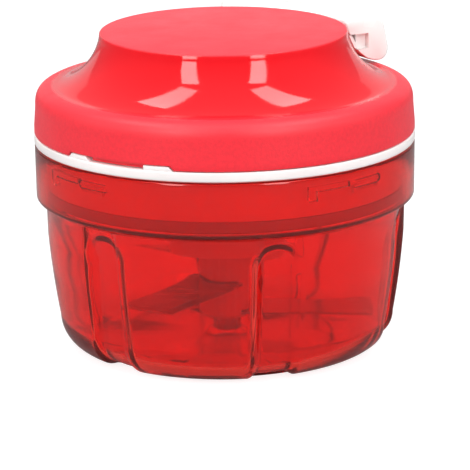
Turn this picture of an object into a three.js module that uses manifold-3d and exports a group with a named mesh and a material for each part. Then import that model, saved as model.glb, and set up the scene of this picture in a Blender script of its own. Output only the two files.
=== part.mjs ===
import * as THREE from 'three';
import { mergeVertices } from 'three/addons/utils/BufferGeometryUtils.js';
import Module from 'manifold-3d';

// Vegetable chopper worked by a pull handle, in millimetres, +Z up.
// The origin is the middle of the base. An azimuth of 0 faces -Y, the front, and grows towards +X.

// Clearances
const fitGap = 0.3;
const weldGap = 0.002;
const cutOverrun = 4;

// Bowl
const bowlHeight = 69.5;
const bandRadius = 63;
const bandDraft = 0.2;
const bandHeight = 17.4;
const bandWall = 2.3;
const stepHeight = 2.6;
const stepWidth = 3.3;
const bodyDraft = 3.5;
const bodyBulge = 0.5;
const bowlWall = 2.2;
const footFillet = 10.8;
const footRingWidth = 9;
const footRecess = 1;
const floorThickness = 2.6;
const nibCount = 8;
const nibHeight = 0.5;
const nibWidth = 5;
const nibLength = 5;
const rimRound = 0.7;
const ledgeRise = 0.1;
const ledgeRound = 1.5;

// Flutes pressed into the bowl's side
const fluteCount = 6;
const fluteAzimuth = 16.6;
const fluteWidth = 15.2;
const fluteFlat = 11.4;
const fluteRoot = 1;
const fluteTopDrop = 2.5;
const fluteTopDepth = 2.4;
const fluteFootDepth = 2;

// Bayonet: lugs on the inner lid turn under catches in the band
const lugCount = 4;
const lugAzimuth = 46;
const lugWidth = 8;
const lugHeight = 2.5;
const lugDrop = 5.4;
const lugReach = 1.3;
const catchReach = 1.1;
const catchHeight = 1.4;
const catchLift = 0.5;
const catchWidth = 15;
const catchStopWidth = 1.4;
const catchLead = 2.4;

// Pivot in the middle of the bowl
const pinRadius = 3;
const pinLength = 20;
const bossWall = 1.3;
const bossHeight = 5;
const bossFootSpread = 3;
const bossFootHeight = 1.6;
const bushReach = 3.3;
const bushHeight = 1.3;

// Blade set
const hubRadius = 9.2;
const hubFootLip = 0.9;
const hubHeadLip = 2.7;
const hubBore = 16;
const hubRound = 0.8;
const keyAcross = 12;
const bladeCount = 3;
const bladeAzimuth = 88;
const bladeThickness = 0.8;
const bladeChord = 19;
const bladeClearance = 2.7;
const bladeRoot = 5.2;
const bladeBevel = 3;
const bladeEdge = 0.2;
const bladeNames = ['blade_low', 'blade_middle', 'blade_top'];

// Inner lid: a white dish with the ring that shows between cover and bowl
const ringLift = 0.5;
const ringHeight = 3.2;
const ringProud = 0.1;
const ringRound = 0.5;
const skirtClearance = 1.7;
const skirtWall = 2;
const lidFloorDrop = 16.3;
const lidFloorThickness = 2.2;
const lipHeight = 2.2;
const lipWall = 1.8;
const lidBossRadius = 18.6;
const lidBossDraft = 0.4;
const lidBossLip = 1.2;
const lidBossWall = 2.4;
const towerRadius = 12.2;
const towerRibCount = 4;
const towerRibWidth = 2;
const towerRibReach = 26;
const towerRibHeight = 14;

// Seal in its groove round the foot of the skirt
const grooveDepth = 1.8;
const grooveHeight = 3.4;
const grooveFoot = 1;
const sealWrap = 1.1;
const sealRound = 0.5;

// Release slot and its two tabs at the front left of the ring
const slotAzimuth = -33.9;
const slotWidth = 21.1;
const slotHeight = 1.2;
const tabWidth = 10;
const tabHeight = 1.9;
const tabDepth = 2.3;
const tabSlant = 1.3;
const tabInset = 0.25;

// Cover
const coverInset = 0.1;
const coverWall = 2.2;
const coverDraft = 0.5;
const coverSkirt = 8.5;
const shoulderRise = 6.87;
const shoulderWidth = 7.07;
const domeShare = 0.64825;
const domeEdge = 0.7;
const shoulderShares = [0.976, 0.505];
const cavettoShares = [0.102, 0.668, 0.218];

// Screws that hold the cover down on the inner lid
const screwCount = 4;
const screwAzimuth = 45;
const screwInset = 11.3;
const screwRadius = 1.3;
const screwLength = 14;
const screwHeadRadius = 3.1;
const screwHeadHeight = 1.6;
const postRadius = 3.6;

// Cord exit behind the handle
const pullAzimuth = 148;
const cordDrop = 11.57;
const guideBore = 1.5;
const guideWall = 0.9;
const guideFlange = 0.9;
const guideFlangeHeight = 1;
const guideProud = 0.5;
const guideLength = 8;

// Recoil reel and its fixed post
const axleRadius = 4;
const axleBoss = 4.2;
const axleTail = 1.2;
const drumRadius = 17.2;
const drumWall = 1.6;
const drumWidth = 8.6;
const flangeReach = 6.3;
const flangeWidth = 1.8;
const reelHubWall = 2.5;
const reelHubHeight = 4.9;
const springTurns = 4;
const springStrip = 0.5;
const springHeight = 6.2;
const springInner = 5;
const springOuterGap = 0.6;
const springCapHeight = 1.2;
const springSteps = 12;
const clipHeight = 0.7;
const clipReach = 2.1;
const clipGroove = 0.9;
const clipMouthAngle = 60;
const washerHeight = 0.6;
const washerReach = 2.1;

// Ratchet ring under the reel and the clutch that it drives
const toothCount = 12;
const ratchetRoot = 14.4;
const ratchetDepth = 1.8;
const ratchetWall = 2.2;
const ratchetHeight = 7.2;
const clutchRadius = 12.6;
const clutchHeight = 3;
const clutchDrop = 1.65;
const pawlCount = 2;
const pawlPivot = 9.2;
const pawlPinRadius = 1.3;
const pawlHeight = 3.2;
const pawlEye = 2.2;
const pawlTip = 12.8;
const pawlTipWidth = 1;
const pawlLeadAngle = 50;
const pawlBacklashAngle = 7;
const pawlPinProud = 0.6;

// Shaft, bushes and socket below the clutch
const shaftRadius = 6;
const shaftPilot = 11.3;
const bearingWall = 3;
const bearingLength = 8;
const bearingFlange = 2.3;
const bearingFlangeHeight = 1.2;
const socketRadius = 12.6;
const socketTaper = 0.8;
const socketHeight = 14.2;
const socketWeb = 2;
const socketSeat = 3;
const keyClearance = 0.5;
const socketScrewRadius = 1.5;
const socketScrewLength = 10;
const socketScrewHead = 4;
const socketScrewHeadHeight = 1.4;

// Handle: a curved grip round the back of the dome, closed by an insert on its inner side
const gripHalfAngle = 32;
const gripClearance = 4.76;
const gripHeight = 15;
const gripDrop = 0.87;
const gripLift = 1.33;
const gripSetback = 1;
const gripEndRound = 0.9;
const gripEndAngle = 1.2;
const gripSteps = 8;
const gripEndShares = [0.4, 0.75, 0.93, 1];
const channelHeight = 5.2;
const channelDepth = 6.1;
const channelLift = 4.2;
const insertWall = 1.2;
const anchorWidth = 9;
const anchorBore = 1.2;
const handleScrewAngle = 18;
const handleScrewRadius = 1.1;
const handleScrewReach = 4;
const handleScrewHead = 2;
const handleScrewHeadHeight = 0.8;
const handleBossWidth = 6;
// Outline of the grip's section: share of its width inwards from the outside, share of its height upwards
const gripSectionShares = [
  [0.79, 0.32], [0.6, 0.15], [0.46, 0.05], [0.22, 0], [0.06, 0.07], [0, 0.25], [0.04, 0.5], [0.11, 0.83],
  [0.2, 0.96], [0.32, 1], [0.94, 1], [1, 0.96], [0.95, 0.74], [0.88, 0.52],
];

// Facets
const roundSteps = 44;
const middleSteps = 24;
const smallSteps = 18;
const screwSteps = 8;
const curveSteps = 6;
const arcStepAngle = 12;
const catchSteps = 3;

const wasm = await Module();
wasm.setup();
const { degToRad, radToDeg, clamp, smoothstep } = THREE.MathUtils;

// A closed geometry as a solid: corners welded, slivers at the poles dropped, faces turned outwards
function solid(geometry) {
  const bare = new THREE.BufferGeometry();
  const loose = geometry.index ? geometry.toNonIndexed() : geometry;
  bare.setAttribute('position', loose.getAttribute('position'));
  const welded = mergeVertices(bare);
  const places = welded.getAttribute('position');
  const indices = welded.getIndex().array;
  const [a, b, c] = [new THREE.Vector3(), new THREE.Vector3(), new THREE.Vector3()];
  const triangles = [];
  let volume = 0;
  for (let i = 0; i < indices.length; i += 3) {
    const corners = [indices[i], indices[i + 1], indices[i + 2]];
    if (new Set(corners).size < 3) continue;
    [a, b, c].forEach((corner, n) => corner.fromBufferAttribute(places, corners[n]));
    volume += a.dot(b.cross(c));
    triangles.push(corners);
  }
  if (volume < 0) triangles.forEach((corners) => corners.reverse());
  const triVerts = Uint32Array.from(triangles.flat());
  return new wasm.Manifold(new wasm.Mesh({ numProp: 3, vertProperties: places.array, triVerts }));
}

// A named mesh from a solid
function piece(name, body, material) {
  const { vertProperties, triVerts } = body.getMesh();
  const geometry = new THREE.BufferGeometry();
  geometry.setAttribute('position', new THREE.BufferAttribute(vertProperties, 3));
  geometry.setIndex(new THREE.BufferAttribute(triVerts, 1));
  geometry.computeVertexNormals();
  const mesh = new THREE.Mesh(geometry, material);
  mesh.name = name;
  return mesh;
}

// A profile of [radius, height] pairs turned about the axis
function turned(profile, steps = roundSteps) {
  const points = profile.map(([radius, height]) => new THREE.Vector2(radius, height));
  const [first, last] = [points[0], points[points.length - 1]];
  if (first.x > 0 || last.x > 0) points.push(first.clone());
  return solid(new THREE.LatheGeometry(points, steps).rotateX(Math.PI / 2));
}

// A straight cylinder from one height to another
function rod(radius, low, high, steps = smallSteps) {
  return turned([[0, low], [radius, low], [radius, high], [0, high]], steps);
}

// A washer or tube
function tube(inner, outer, low, high, steps = smallSteps) {
  return turned([[inner, low], [outer, low], [outer, high], [inner, high]], steps);
}

// A flat shape raised from one height to another
function raised(shape, low, high, steps = curveSteps) {
  const settings = { depth: high - low, bevelEnabled: false, curveSegments: steps };
  return solid(new THREE.ExtrudeGeometry(shape, settings).translate(0, 0, low));
}

// Part of a flat ring, centred on the front and reaching a half angle to each side
function arcBlock(inner, outer, low, high, halfAngle, steps = Math.ceil(halfAngle / arcStepAngle)) {
  const [start, end] = [degToRad(-90 - halfAngle), degToRad(-90 + halfAngle)];
  const shape = new THREE.Shape();
  shape.absarc(0, 0, outer, start, end, false);
  shape.absarc(0, 0, inner, end, start, true);
  shape.closePath();
  return raised(shape, low, high, steps);
}

// A rounded-end bar lying along -Y from one distance to another, for holes and radial screws
function radialRod(radius, near, far, height) {
  return rod(radius, near, far, screwSteps).rotate([90, 0, 0]).translate([0, 0, height]);
}

// A solid whose sections are loops of points, all with the same number of points
function loft(rings) {
  const size = rings[0].length;
  const faces = [];
  for (let ring = 0; ring + 1 < rings.length; ring += 1) {
    for (let i = 0; i < size; i += 1) {
      const [low, next] = [ring * size + i, ring * size + ((i + 1) % size)];
      faces.push([low, next, next + size], [low, next + size, low + size]);
    }
  }
  const outline = rings[0].map((point) => point.section);
  const last = (rings.length - 1) * size;
  for (const [i, j, k] of THREE.ShapeUtils.triangulateShape(outline, [])) {
    faces.push([k, j, i], [last + i, last + j, last + k]);
  }
  const geometry = new THREE.BufferGeometry();
  const places = rings.flat().flatMap((point) => point.place.toArray());
  geometry.setAttribute('position', new THREE.Float32BufferAttribute(places, 3));
  geometry.setIndex(faces.flat());
  return solid(geometry);
}

// A point of a loft, from its section and the azimuth of the section's plane
function loftPoint(radius, height, azimuth) {
  const angle = degToRad(azimuth);
  return {
    section: new THREE.Vector2(radius, height),
    place: new THREE.Vector3(radius * Math.sin(angle), -radius * Math.cos(angle), height),
  };
}

// Copies of a solid spread evenly round the axis, joined
function ringOf(count, azimuth, body) {
  const copies = Array.from({ length: count }, (_, n) => body.rotate([0, 0, azimuth + (n * 360) / count]));
  return copies.reduce((joined, copy) => joined.add(copy));
}

// The angle that a width takes up at a radius
function spanAt(width, radius) {
  return radToDeg(width / radius);
}

// Points of a profile moved inwards across the wall
function inset(profile, distance) {
  return profile.map(([radius, height], n) => {
    const before = profile[Math.max(n - 1, 0)];
    const after = profile[Math.min(n + 1, profile.length - 1)];
    const along = new THREE.Vector2(after[0] - before[0], after[1] - before[1]).normalize();
    return [Math.max(radius - along.y * distance, 0), height + along.x * distance];
  });
}

// Points along a cubic curve from one end to the other, without its last point
function curve(ends, steps = curveSteps) {
  const [a, b, c, d] = ends.map(([radius, height]) => new THREE.Vector2(radius, height));
  const points = new THREE.CubicBezierCurve(a, b, c, d).getPoints(steps);
  return points.slice(0, -1).map((point) => [point.x, point.y]);
}

// Points along a quarter round between two corners, the first end included
function quarter(centre, radius, from, steps = 4) {
  return Array.from({ length: steps + 1 }, (_, n) => {
    const angle = degToRad(from + (n * 90) / steps);
    return [centre[0] + radius * Math.cos(angle), centre[1] + radius * Math.sin(angle)];
  });
}

// Heights and radii that several pieces share
const bandFoot = bowlHeight - bandHeight;
const stepFoot = bandFoot - stepHeight;
const fluteTop = stepFoot - fluteTopDrop;
const bodyTopRadius = bandRadius - bandDraft - stepWidth;
const bodyFootRadius = bodyTopRadius - bodyDraft;
const floorTop = footRecess + floorThickness;
const bandInner = bandRadius - bandDraft - bandWall;
const ledgeTop = bandFoot + ledgeRise;
const catchInner = bandInner - catchReach;
const ringLow = bowlHeight + ringLift;
const ringTop = ringLow + ringHeight;
const ringRadius = bandRadius + ringProud;
const skirtRadius = bandInner - skirtClearance;
const screwCircle = skirtRadius - screwInset;
const lidFloorLow = bowlHeight - lidFloorDrop;
const lidFloorTop = lidFloorLow + lidFloorThickness;
const coverLow = ringTop + fitGap;
const coverRadius = ringRadius - coverInset;
const crestRadius = coverRadius - coverDraft - shoulderWidth;
const crestHeight = coverLow + coverSkirt + shoulderRise;
const coverTop = crestHeight + gripLift + gripHeight + gripDrop;
const cordHeight = coverTop - cordDrop;
const domeRadius = bandRadius * domeShare;
const gripOuter = bandRadius - gripSetback;
const gripWidth = gripOuter - domeRadius - gripClearance;
const gripTop = coverTop - gripDrop;

// Stack from the dome down to the lid's tower
const bearingBore = shaftRadius + fitGap;
const bearingRadius = shaftRadius + fitGap + bearingWall;
const drumLow = cordHeight - drumWidth / 2;
const drumHigh = cordHeight + drumWidth / 2;
const webLow = drumLow - flangeWidth;
const reelHubLow = drumLow - reelHubHeight;
const ratchetLow = webLow - ratchetHeight;
const washerTop = reelHubLow - fitGap;
const clipTop = washerTop - washerHeight - fitGap;
const axleLow = clipTop - clipHeight - fitGap / 2 - axleTail;
const axleHigh = coverTop - coverWall - fitGap;
const clutchTop = axleLow - clutchDrop;
const clutchLow = clutchTop - clutchHeight;
const towerTop = clutchLow - fitGap - bearingFlangeHeight - fitGap;
const drumInner = drumRadius - drumWall;

// Stack from the lid's floor down to the bowl's floor
const socketTop = lidFloorLow - fitGap - bearingFlangeHeight - fitGap;
const socketLow = socketTop - socketHeight;
const socketRoof = socketTop - socketSeat - socketWeb;
const lidBossLow = socketLow - lidBossLip;
const keyTop = socketRoof - socketScrewHeadHeight - fitGap * 3;
const bossTop = floorTop + bossHeight;
const bushLow = bossTop + fitGap;
const bushTop = bushLow + bushHeight;
const hubLow = bushTop + fitGap;
const hubTop = socketLow - fitGap;
const bladeLow = hubLow + hubFootLip + bladeThickness / 2;
const bladeSpacing = (hubTop - hubHeadLip - bladeThickness / 2 - bladeLow) / (bladeCount - 1);
const pinLow = floorTop + fitGap;

// Flutes lean out with the wall, and the blades sweep just inside them
const fluteBackAtTop = bodyTopRadius - fluteTopDepth;
const fluteBackAtFoot = bodyFootRadius - fluteFootDepth;
const fluteSlope = (fluteBackAtTop - fluteBackAtFoot) / (fluteTop - footFillet);
const bladeReach = fluteBackAtFoot + (bladeLow - footFillet) * fluteSlope - bowlWall - bladeClearance;

// The bowl's outside, from the middle of its base to the rim
function bowlOutside() {
  const footFlat = bodyFootRadius - footFillet;
  const ringInner = footFlat - footRingWidth;
  const body = Array.from({ length: 2 }, (_, n) => {
    const share = (n + 1) / 3;
    const swell = 4 * bodyBulge * share * (1 - share);
    return [bodyFootRadius + bodyDraft * share + swell, footFillet + (stepFoot - footFillet) * share];
  });
  const step = Array.from({ length: 6 }, (_, n) => {
    const share = n / 5;
    return [bodyTopRadius + stepWidth * smoothstep(share, 0, 1), stepFoot + stepHeight * share];
  });
  return [
    [0, footRecess], [ringInner - footRecess, footRecess], [ringInner, 0],
    ...quarter([footFlat, footFillet], footFillet, -90, 4),
    ...body, ...step,
    ...quarter([bandRadius - rimRound, bowlHeight - rimRound], rimRound, 0, 2),
  ];
}

// The bowl's inside, from the middle of the floor to above the rim
function bowlInside() {
  const wallFoot = bodyFootRadius - bowlWall;
  const fillet = footFillet - bowlWall;
  const wallTop = bodyTopRadius - bowlWall;
  const middle = [(wallFoot + wallTop) / 2 + bodyBulge, (footFillet + stepFoot) / 2];
  return [
    [0, floorTop],
    ...quarter([wallFoot - fillet, floorTop + fillet], fillet, -90, 3),
    middle, [wallTop, ledgeTop - ledgeRound], [wallTop + ledgeRound, ledgeTop], [bandInner, ledgeTop],
    [bandRadius - bandWall, bowlHeight + cutOverrun], [0, bowlHeight + cutOverrun],
  ];
}

// One flute's cutter at the front, grown by a margin: an arched block with sloped sides that ends at the
// flute's floor, which follows the wall down and round the foot
function fluteCutter(margin) {
  const slope = (fluteWidth - fluteFlat) / 2 / fluteTopDepth;
  const inner = fluteFlat / 2 + margin * (Math.hypot(1, slope) - slope);
  const outer = inner + (fluteTopDepth + margin) * slope;
  const archCentre = fluteTop - fluteWidth / 2;
  const ring = (half, depth) => {
    const arch = Array.from({ length: curveSteps + 1 }, (_, n) => {
      const angle = (Math.PI * n) / curveSteps;
      return [half * Math.cos(angle), archCentre + half * Math.sin(angle)];
    });
    return [[half, -cutOverrun], ...arch, [-half, -cutOverrun]].map(([across, height]) => ({
      section: new THREE.Vector2(across, height),
      place: new THREE.Vector3(across, -(fluteBackAtFoot + fluteSlope * (height - footFillet) + depth), height),
    }));
  };
  const root = inner - fluteRoot * slope;
  const rings = [
    [root, fluteFootDepth / 2 - footFillet], [root, -margin - fluteRoot], [outer, fluteTopDepth], [outer, footFillet],
  ];
  return loft(rings.map(([half, depth]) => ring(half, depth))).subtract(fluteFloor(margin));
}

// What lies inside the flutes' floor, shrunk by a margin
function fluteFloor(margin) {
  const fillet = footFillet - fluteFootDepth - margin;
  const top = fluteTop + fluteWidth;
  const back = fluteBackAtFoot - margin + fluteSlope * (top - footFillet);
  return turned([
    [0, footFillet - fillet], ...quarter([bodyFootRadius - footFillet, footFillet], fillet, -90, 4),
    [back, top], [0, top],
  ]);
}

function bowl() {
  const flutes = ringOf(fluteCount, fluteAzimuth, fluteCutter(0));
  const ribs = ringOf(fluteCount, fluteAzimuth, fluteCutter(bowlWall));
  const shell = turned([...bowlOutside(), [0, bowlHeight]]).subtract(flutes);
  const cavity = turned(bowlInside()).subtract(ribs);
  const underside = rod(bodyTopRadius, -cutOverrun, nibHeight, roundSteps);
  const whole = shell.subtract(cavity).subtract(underside).add(nibs()).add(pivotBoss()).add(catches());
  return whole.simplify(weldGap);
}

// Standing nibs on the foot ring, so that the bowl doesn't rock
function nibs() {
  const middle = bodyFootRadius - footFillet - footRingWidth / 2;
  const half = spanAt(nibLength / 2, middle);
  const nib = arcBlock(middle - nibWidth / 2, middle + nibWidth / 2, 0, footRecess + nibHeight, half);
  return ringOf(nibCount, 180 / nibCount, nib);
}

// Post on the bowl's floor that holds the steel pin
function pivotBoss() {
  const outer = pinRadius + fitGap + bossWall;
  const low = footRecess + floorThickness / 2;
  const post = turned([
    [0, low], [outer + bossFootSpread, low], [outer + bossFootSpread, floorTop],
    [outer, floorTop + bossFootHeight], [outer, bossTop], [0, bossTop],
  ], smallSteps);
  return post.subtract(rod(pinRadius + fitGap, floorTop, bossTop + cutOverrun));
}

// Catches inside the band: a ledge over the path of each lug, with a stop at its far end
function catches() {
  const lugTop = bowlHeight - lugDrop;
  const low = lugTop + catchLift;
  const outer = bandInner + bandWall / 2;
  const halfSpan = spanAt(catchWidth / 2, bandInner);
  const stopHalf = spanAt(catchStopWidth / 2, bandInner);
  const ledge = arcBlock(catchInner, outer, low, low + catchHeight, halfSpan, catchSteps);
  const stop = arcBlock(catchInner + fitGap, outer, lugTop - lugHeight, low + catchHeight / 2, stopHalf);
  const joined = ledge.add(stop.rotate([0, 0, stopHalf * 2 - halfSpan]));
  const lugEdge = lugAzimuth - spanAt(lugWidth / 2, bandInner);
  return ringOf(lugCount, lugEdge - spanAt(catchLead, bandInner) - halfSpan, joined);
}

// Hexagonal key or cutter, across its flats
function hexagon(across, low, high) {
  return rod(across / Math.sqrt(3), low, high, 6);
}

// A blade's outline from its root in the hub to its tip on the sweep circle, pointing to the front
function bladeOutline(margin) {
  const half = bladeChord / 2 + margin;
  const reach = bladeReach + margin;
  const tip = Math.asin(half / reach);
  const shape = new THREE.Shape();
  shape.moveTo(-half, margin - bladeRoot);
  shape.lineTo(-half, -reach * Math.cos(tip));
  shape.absarc(0, 0, reach, -Math.PI / 2 - tip, -Math.PI / 2 + tip, false);
  shape.lineTo(half, margin - bladeRoot);
  shape.closePath();
  return shape;
}

function blade(order) {
  const middle = bladeLow + order * bladeSpacing;
  const [low, high] = [middle - bladeThickness / 2, middle + bladeThickness / 2];
  const plate = raised(bladeOutline(0), low, high);
  const edge = new THREE.Shape();
  edge.moveTo(bladeChord / 2 + bladeEdge, low + bladeEdge);
  edge.lineTo(bladeChord / 2 + bladeEdge, high + bladeEdge);
  edge.lineTo(bladeChord / 2 - bladeBevel, high + bladeEdge);
  edge.lineTo(bladeChord / 2 - bladeBevel, high);
  edge.lineTo(bladeChord / 2, low + bladeEdge);
  edge.closePath();
  const grind = raised(edge, hubRadius, bladeReach + cutOverrun).rotate([90, 0, 0]);
  return plate.subtract(grind).rotate([0, 0, bladeAzimuth - (order * 360) / bladeCount]);
}

function bladeHub() {
  const column = turned([
    [0, hubLow], [hubRadius, hubLow], [hubRadius, hubTop - hubRound],
    [hubRadius - hubRound, hubTop], [0, hubTop],
  ], middleSteps);
  const key = hexagon(keyAcross, hubTop - cutOverrun, keyTop);
  const bore = rod(pinRadius + fitGap, hubLow - cutOverrun, hubLow + hubBore);
  const slots = bladeNames.map((_, order) => {
    const middle = bladeLow + order * bladeSpacing;
    const reach = bladeThickness / 2 + fitGap;
    const slot = raised(bladeOutline(fitGap), middle - reach, middle + reach);
    return slot.rotate([0, 0, bladeAzimuth - (order * 360) / bladeCount]);
  });
  return slots.reduce((body, slot) => body.subtract(slot), column.add(key).subtract(bore));
}

// The inner lid: ring, skirt, floor, hanging boss and the tower that carries the shaft
function innerLid() {
  const grooveLow = lidFloorLow + grooveFoot;
  const grooveTop = grooveLow + grooveHeight;
  const foot = skirtRadius - sealWrap;
  const groove = skirtRadius - grooveDepth;
  const inside = groove - skirtWall;
  const upperInside = skirtRadius - skirtWall;
  const lip = coverRadius - coverDraft - coverWall - fitGap;
  const bossInner = lidBossRadius - lidBossWall;
  const bore = bearingRadius + fitGap;
  const shell = turned([
    [bossInner - lidBossDraft, lidBossLow], [lidBossRadius - lidBossDraft, lidBossLow],
    [lidBossRadius, lidFloorLow], [foot, lidFloorLow], [foot, grooveLow],
    [groove, grooveLow], [groove, grooveTop], [skirtRadius, grooveTop], [skirtRadius, ringLow],
    [ringRadius - ringRound, ringLow], [ringRadius, ringLow + ringRound],
    [ringRadius, ringTop - ringRound], [ringRadius - ringRound, ringTop],
    [lip, ringTop], [lip, ringTop + lipHeight], [lip - lipWall, ringTop + lipHeight],
    [lip - lipWall, ringTop], [upperInside, ringLow - skirtWall], [upperInside, grooveTop + skirtWall],
    [inside, grooveTop], [inside, lidFloorTop], [bore, lidFloorTop], [bore, lidFloorLow],
    [bossInner, lidFloorLow],
  ]);
  const tower = tube(bore, towerRadius, lidFloorTop - lidFloorThickness / 2, towerTop, roundSteps / 2);
  const slotHalf = spanAt(slotWidth / 2, ringRadius);
  const openingTop = ringTop + lipHeight + cutOverrun;
  const opening = arcBlock(lip - lipWall - cutOverrun, lip + fitGap, ringTop, openingTop, slotHalf);
  const holes = ringOf(screwCount, screwAzimuth, screwHole());
  const ribs = ringOf(towerRibCount, screwAzimuth, towerRib());
  const body = shell.add(tower).add(ribs).subtract(opening.rotate([0, 0, slotAzimuth]));
  return body.add(tabs(0)).add(lugs()).subtract(holes);
}

// Gusset between the lid's floor and its tower, at the front
function towerRib() {
  const shape = new THREE.Shape();
  const root = towerRadius - fitGap;
  shape.moveTo(root, lidFloorTop - fitGap);
  shape.lineTo(towerRibReach, lidFloorTop - fitGap);
  shape.lineTo(root, lidFloorTop + towerRibHeight);
  shape.closePath();
  return raised(shape, -towerRibWidth / 2, towerRibWidth / 2).rotate([90, 0, 0]).rotate([0, 0, -90]);
}

function screwHole() {
  const hole = rod(screwRadius + fitGap, lidFloorLow - cutOverrun, lidFloorTop + cutOverrun, screwSteps);
  return hole.translate([0, -screwCircle, 0]);
}

// Tabs that stand up from the ring at both ends of the release slot
function tabs(margin) {
  const slotHalf = spanAt(slotWidth / 2, ringRadius);
  const tabSpan = spanAt(tabWidth, ringRadius);
  const slantSpan = spanAt(tabSlant, ringRadius);
  const spare = spanAt(margin, ringRadius);
  const inner = ringRadius - tabDepth - margin;
  const outer = ringRadius + (margin ? margin : -tabInset);
  const low = ringTop - ringHeight / 2;
  const top = ringTop + tabHeight + margin;
  const ends = [[-spare, top], [tabSpan - slantSpan + spare, top], [tabSpan + spare, ringTop + margin / 2]];
  const middle = [(tabSpan - slantSpan) / 2, top];
  const tab = (side) => loft([ends[0], middle, ends[1], ends[2]].map(([span, high]) => {
    const azimuth = slotAzimuth + side * (slotHalf + span);
    return [
      loftPoint(inner, low, azimuth), loftPoint(outer, low, azimuth),
      loftPoint(outer, high, azimuth), loftPoint(inner, high, azimuth),
    ];
  }));
  return tab(-1).add(tab(1));
}

function lugs() {
  const top = bowlHeight - lugDrop;
  const half = spanAt(lugWidth / 2, skirtRadius);
  const lug = arcBlock(skirtRadius - skirtWall / 2, skirtRadius + lugReach, top - lugHeight, top, half);
  return ringOf(lugCount, lugAzimuth, lug);
}

// The seal wraps the skirt's foot and comes down on the bowl's ledge, clear of the catches
function lidSeal() {
  const low = lidFloorLow + grooveFoot + fitGap;
  const high = low + grooveHeight - fitGap * 2;
  const inner = skirtRadius - grooveDepth + fitGap;
  const stem = skirtRadius - sealWrap + fitGap;
  const lip = catchInner - fitGap;
  const foot = ledgeTop + fitGap;
  return turned([
    [inner, low], [stem, low], [stem, foot], [lip - sealRound, foot], [lip, foot + sealRound],
    [lip, high - sealRound], [lip - sealRound, high], [inner, high],
  ]);
}

// The cover's outside, from its lower edge up over the shoulder and the hollow flank to the dome's top
function coverOutside() {
  const shoulderFoot = [coverRadius - coverDraft, coverLow + coverSkirt];
  const crest = [crestRadius, crestHeight];
  const flankTop = [domeRadius, coverTop - domeEdge];
  const flankRise = flankTop[1] - crestHeight;
  const flankWidth = crestRadius - domeRadius;
  const shoulder = curve([
    shoulderFoot, [shoulderFoot[0], shoulderFoot[1] + shoulderRise * shoulderShares[1]],
    [crestRadius + shoulderWidth * shoulderShares[0], crestHeight], crest,
  ]);
  const flank = curve([
    crest, [crestRadius - flankWidth * cavettoShares[2], crestHeight],
    [domeRadius + flankWidth * cavettoShares[0], flankTop[1] - flankRise * cavettoShares[1]], flankTop,
  ]);
  return [
    [coverRadius, coverLow], ...shoulder, ...flank, flankTop, [domeRadius - domeEdge, coverTop], [0, coverTop],
  ];
}

function cover() {
  const outside = coverOutside();
  const shell = turned([[0, coverLow], ...outside]).subtract(turned(coverInside(outside, coverWall)));
  const boreTop = lidFloorLow + screwLength + fitGap;
  const post = rod(postRadius, lidFloorTop + fitGap, coverTop, smallSteps)
    .subtract(rod(screwRadius + fitGap, lidFloorLow, boreTop, screwSteps));
  const posts = ringOf(screwCount, screwAzimuth, post.translate([0, -screwCircle, 0]));
  const axleSeat = rod(axleRadius + fitGap + axleBoss, drumHigh + flangeWidth + fitGap * 2, coverTop);
  const held = posts.add(axleSeat).intersect(turned(coverInside(outside, coverWall / 2)));
  const slotHalf = spanAt(slotWidth / 2, ringRadius);
  const slot = arcBlock(coverRadius - coverWall - cutOverrun, coverRadius + cutOverrun,
    coverLow - cutOverrun, coverLow + slotHeight, slotHalf).rotate([0, 0, slotAzimuth]);
  const seat = rod(axleRadius + fitGap, axleLow, axleHigh + fitGap);
  return cordExit(shell.add(held)).subtract(slot).subtract(tabs(fitGap)).subtract(seat);
}

// The space under the cover, a distance in from its outside, from the lid's floor up
function coverInside(outside, distance) {
  const rimStart = coverTop - domeEdge * 2;
  const smooth = outside.filter(([radius, height], n) => radius > 0 && (n % 2 === 0 || height > rimStart));
  const profile = inset(smooth, distance);
  const roof = profile[profile.length - 1][1];
  return [[0, lidFloorTop], [profile[0][0], lidFloorTop], ...profile.slice(1), [0, roof]];
}

// Radius of the cover's flank at a height
function flankAt(height) {
  const outside = coverOutside();
  const n = outside.findIndex(([radius, level]) => level > height && radius < crestRadius);
  const [lower, upper] = [outside[n - 1], outside[n]];
  return lower[0] + ((upper[0] - lower[0]) * (height - lower[1])) / (upper[1] - lower[1]);
}

const guideFace = flankAt(cordHeight) + guideProud;

// The flat-faced seat for the cord guide, let into the hollow flank behind the handle
function cordExit(shell) {
  const seatRadius = guideBore + guideWall + guideFlange + fitGap;
  const inner = guideFace - guideFlangeHeight - guideLength / 2;
  const face = guideFace - guideFlangeHeight - fitGap;
  const boss = radialRod(seatRadius + coverWall / 2, inner, face, cordHeight);
  const pocket = radialRod(seatRadius, face, coverRadius, cordHeight);
  const hole = radialRod(guideBore + guideWall + fitGap, inner - cutOverrun, coverRadius, cordHeight);
  const at = [0, 0, pullAzimuth];
  return shell.add(boss.rotate(at)).subtract(pocket.rotate(at)).subtract(hole.rotate(at));
}

function cordGuide() {
  const shank = radialRod(guideBore + guideWall, guideFace - guideLength, guideFace, cordHeight);
  const rimRadius = guideBore + guideWall + guideFlange;
  const rim = radialRod(rimRadius, guideFace - guideFlangeHeight, guideFace, cordHeight);
  const bore = radialRod(guideBore, guideFace - guideLength - cutOverrun, guideFace + cutOverrun, cordHeight);
  return shank.add(rim).subtract(bore).rotate([0, 0, pullAzimuth]);
}

function coverScrew(order) {
  const seat = lidFloorLow - fitGap;
  const screw = turned([
    [0, seat - screwHeadHeight], [screwHeadRadius, seat - screwHeadHeight], [screwHeadRadius, seat],
    [screwRadius, seat], [screwRadius, lidFloorLow + screwLength], [0, lidFloorLow + screwLength],
  ], screwSteps);
  return screw.translate([0, -screwCircle, 0]).rotate([0, 0, screwAzimuth + (order * 360) / screwCount]);
}

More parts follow.
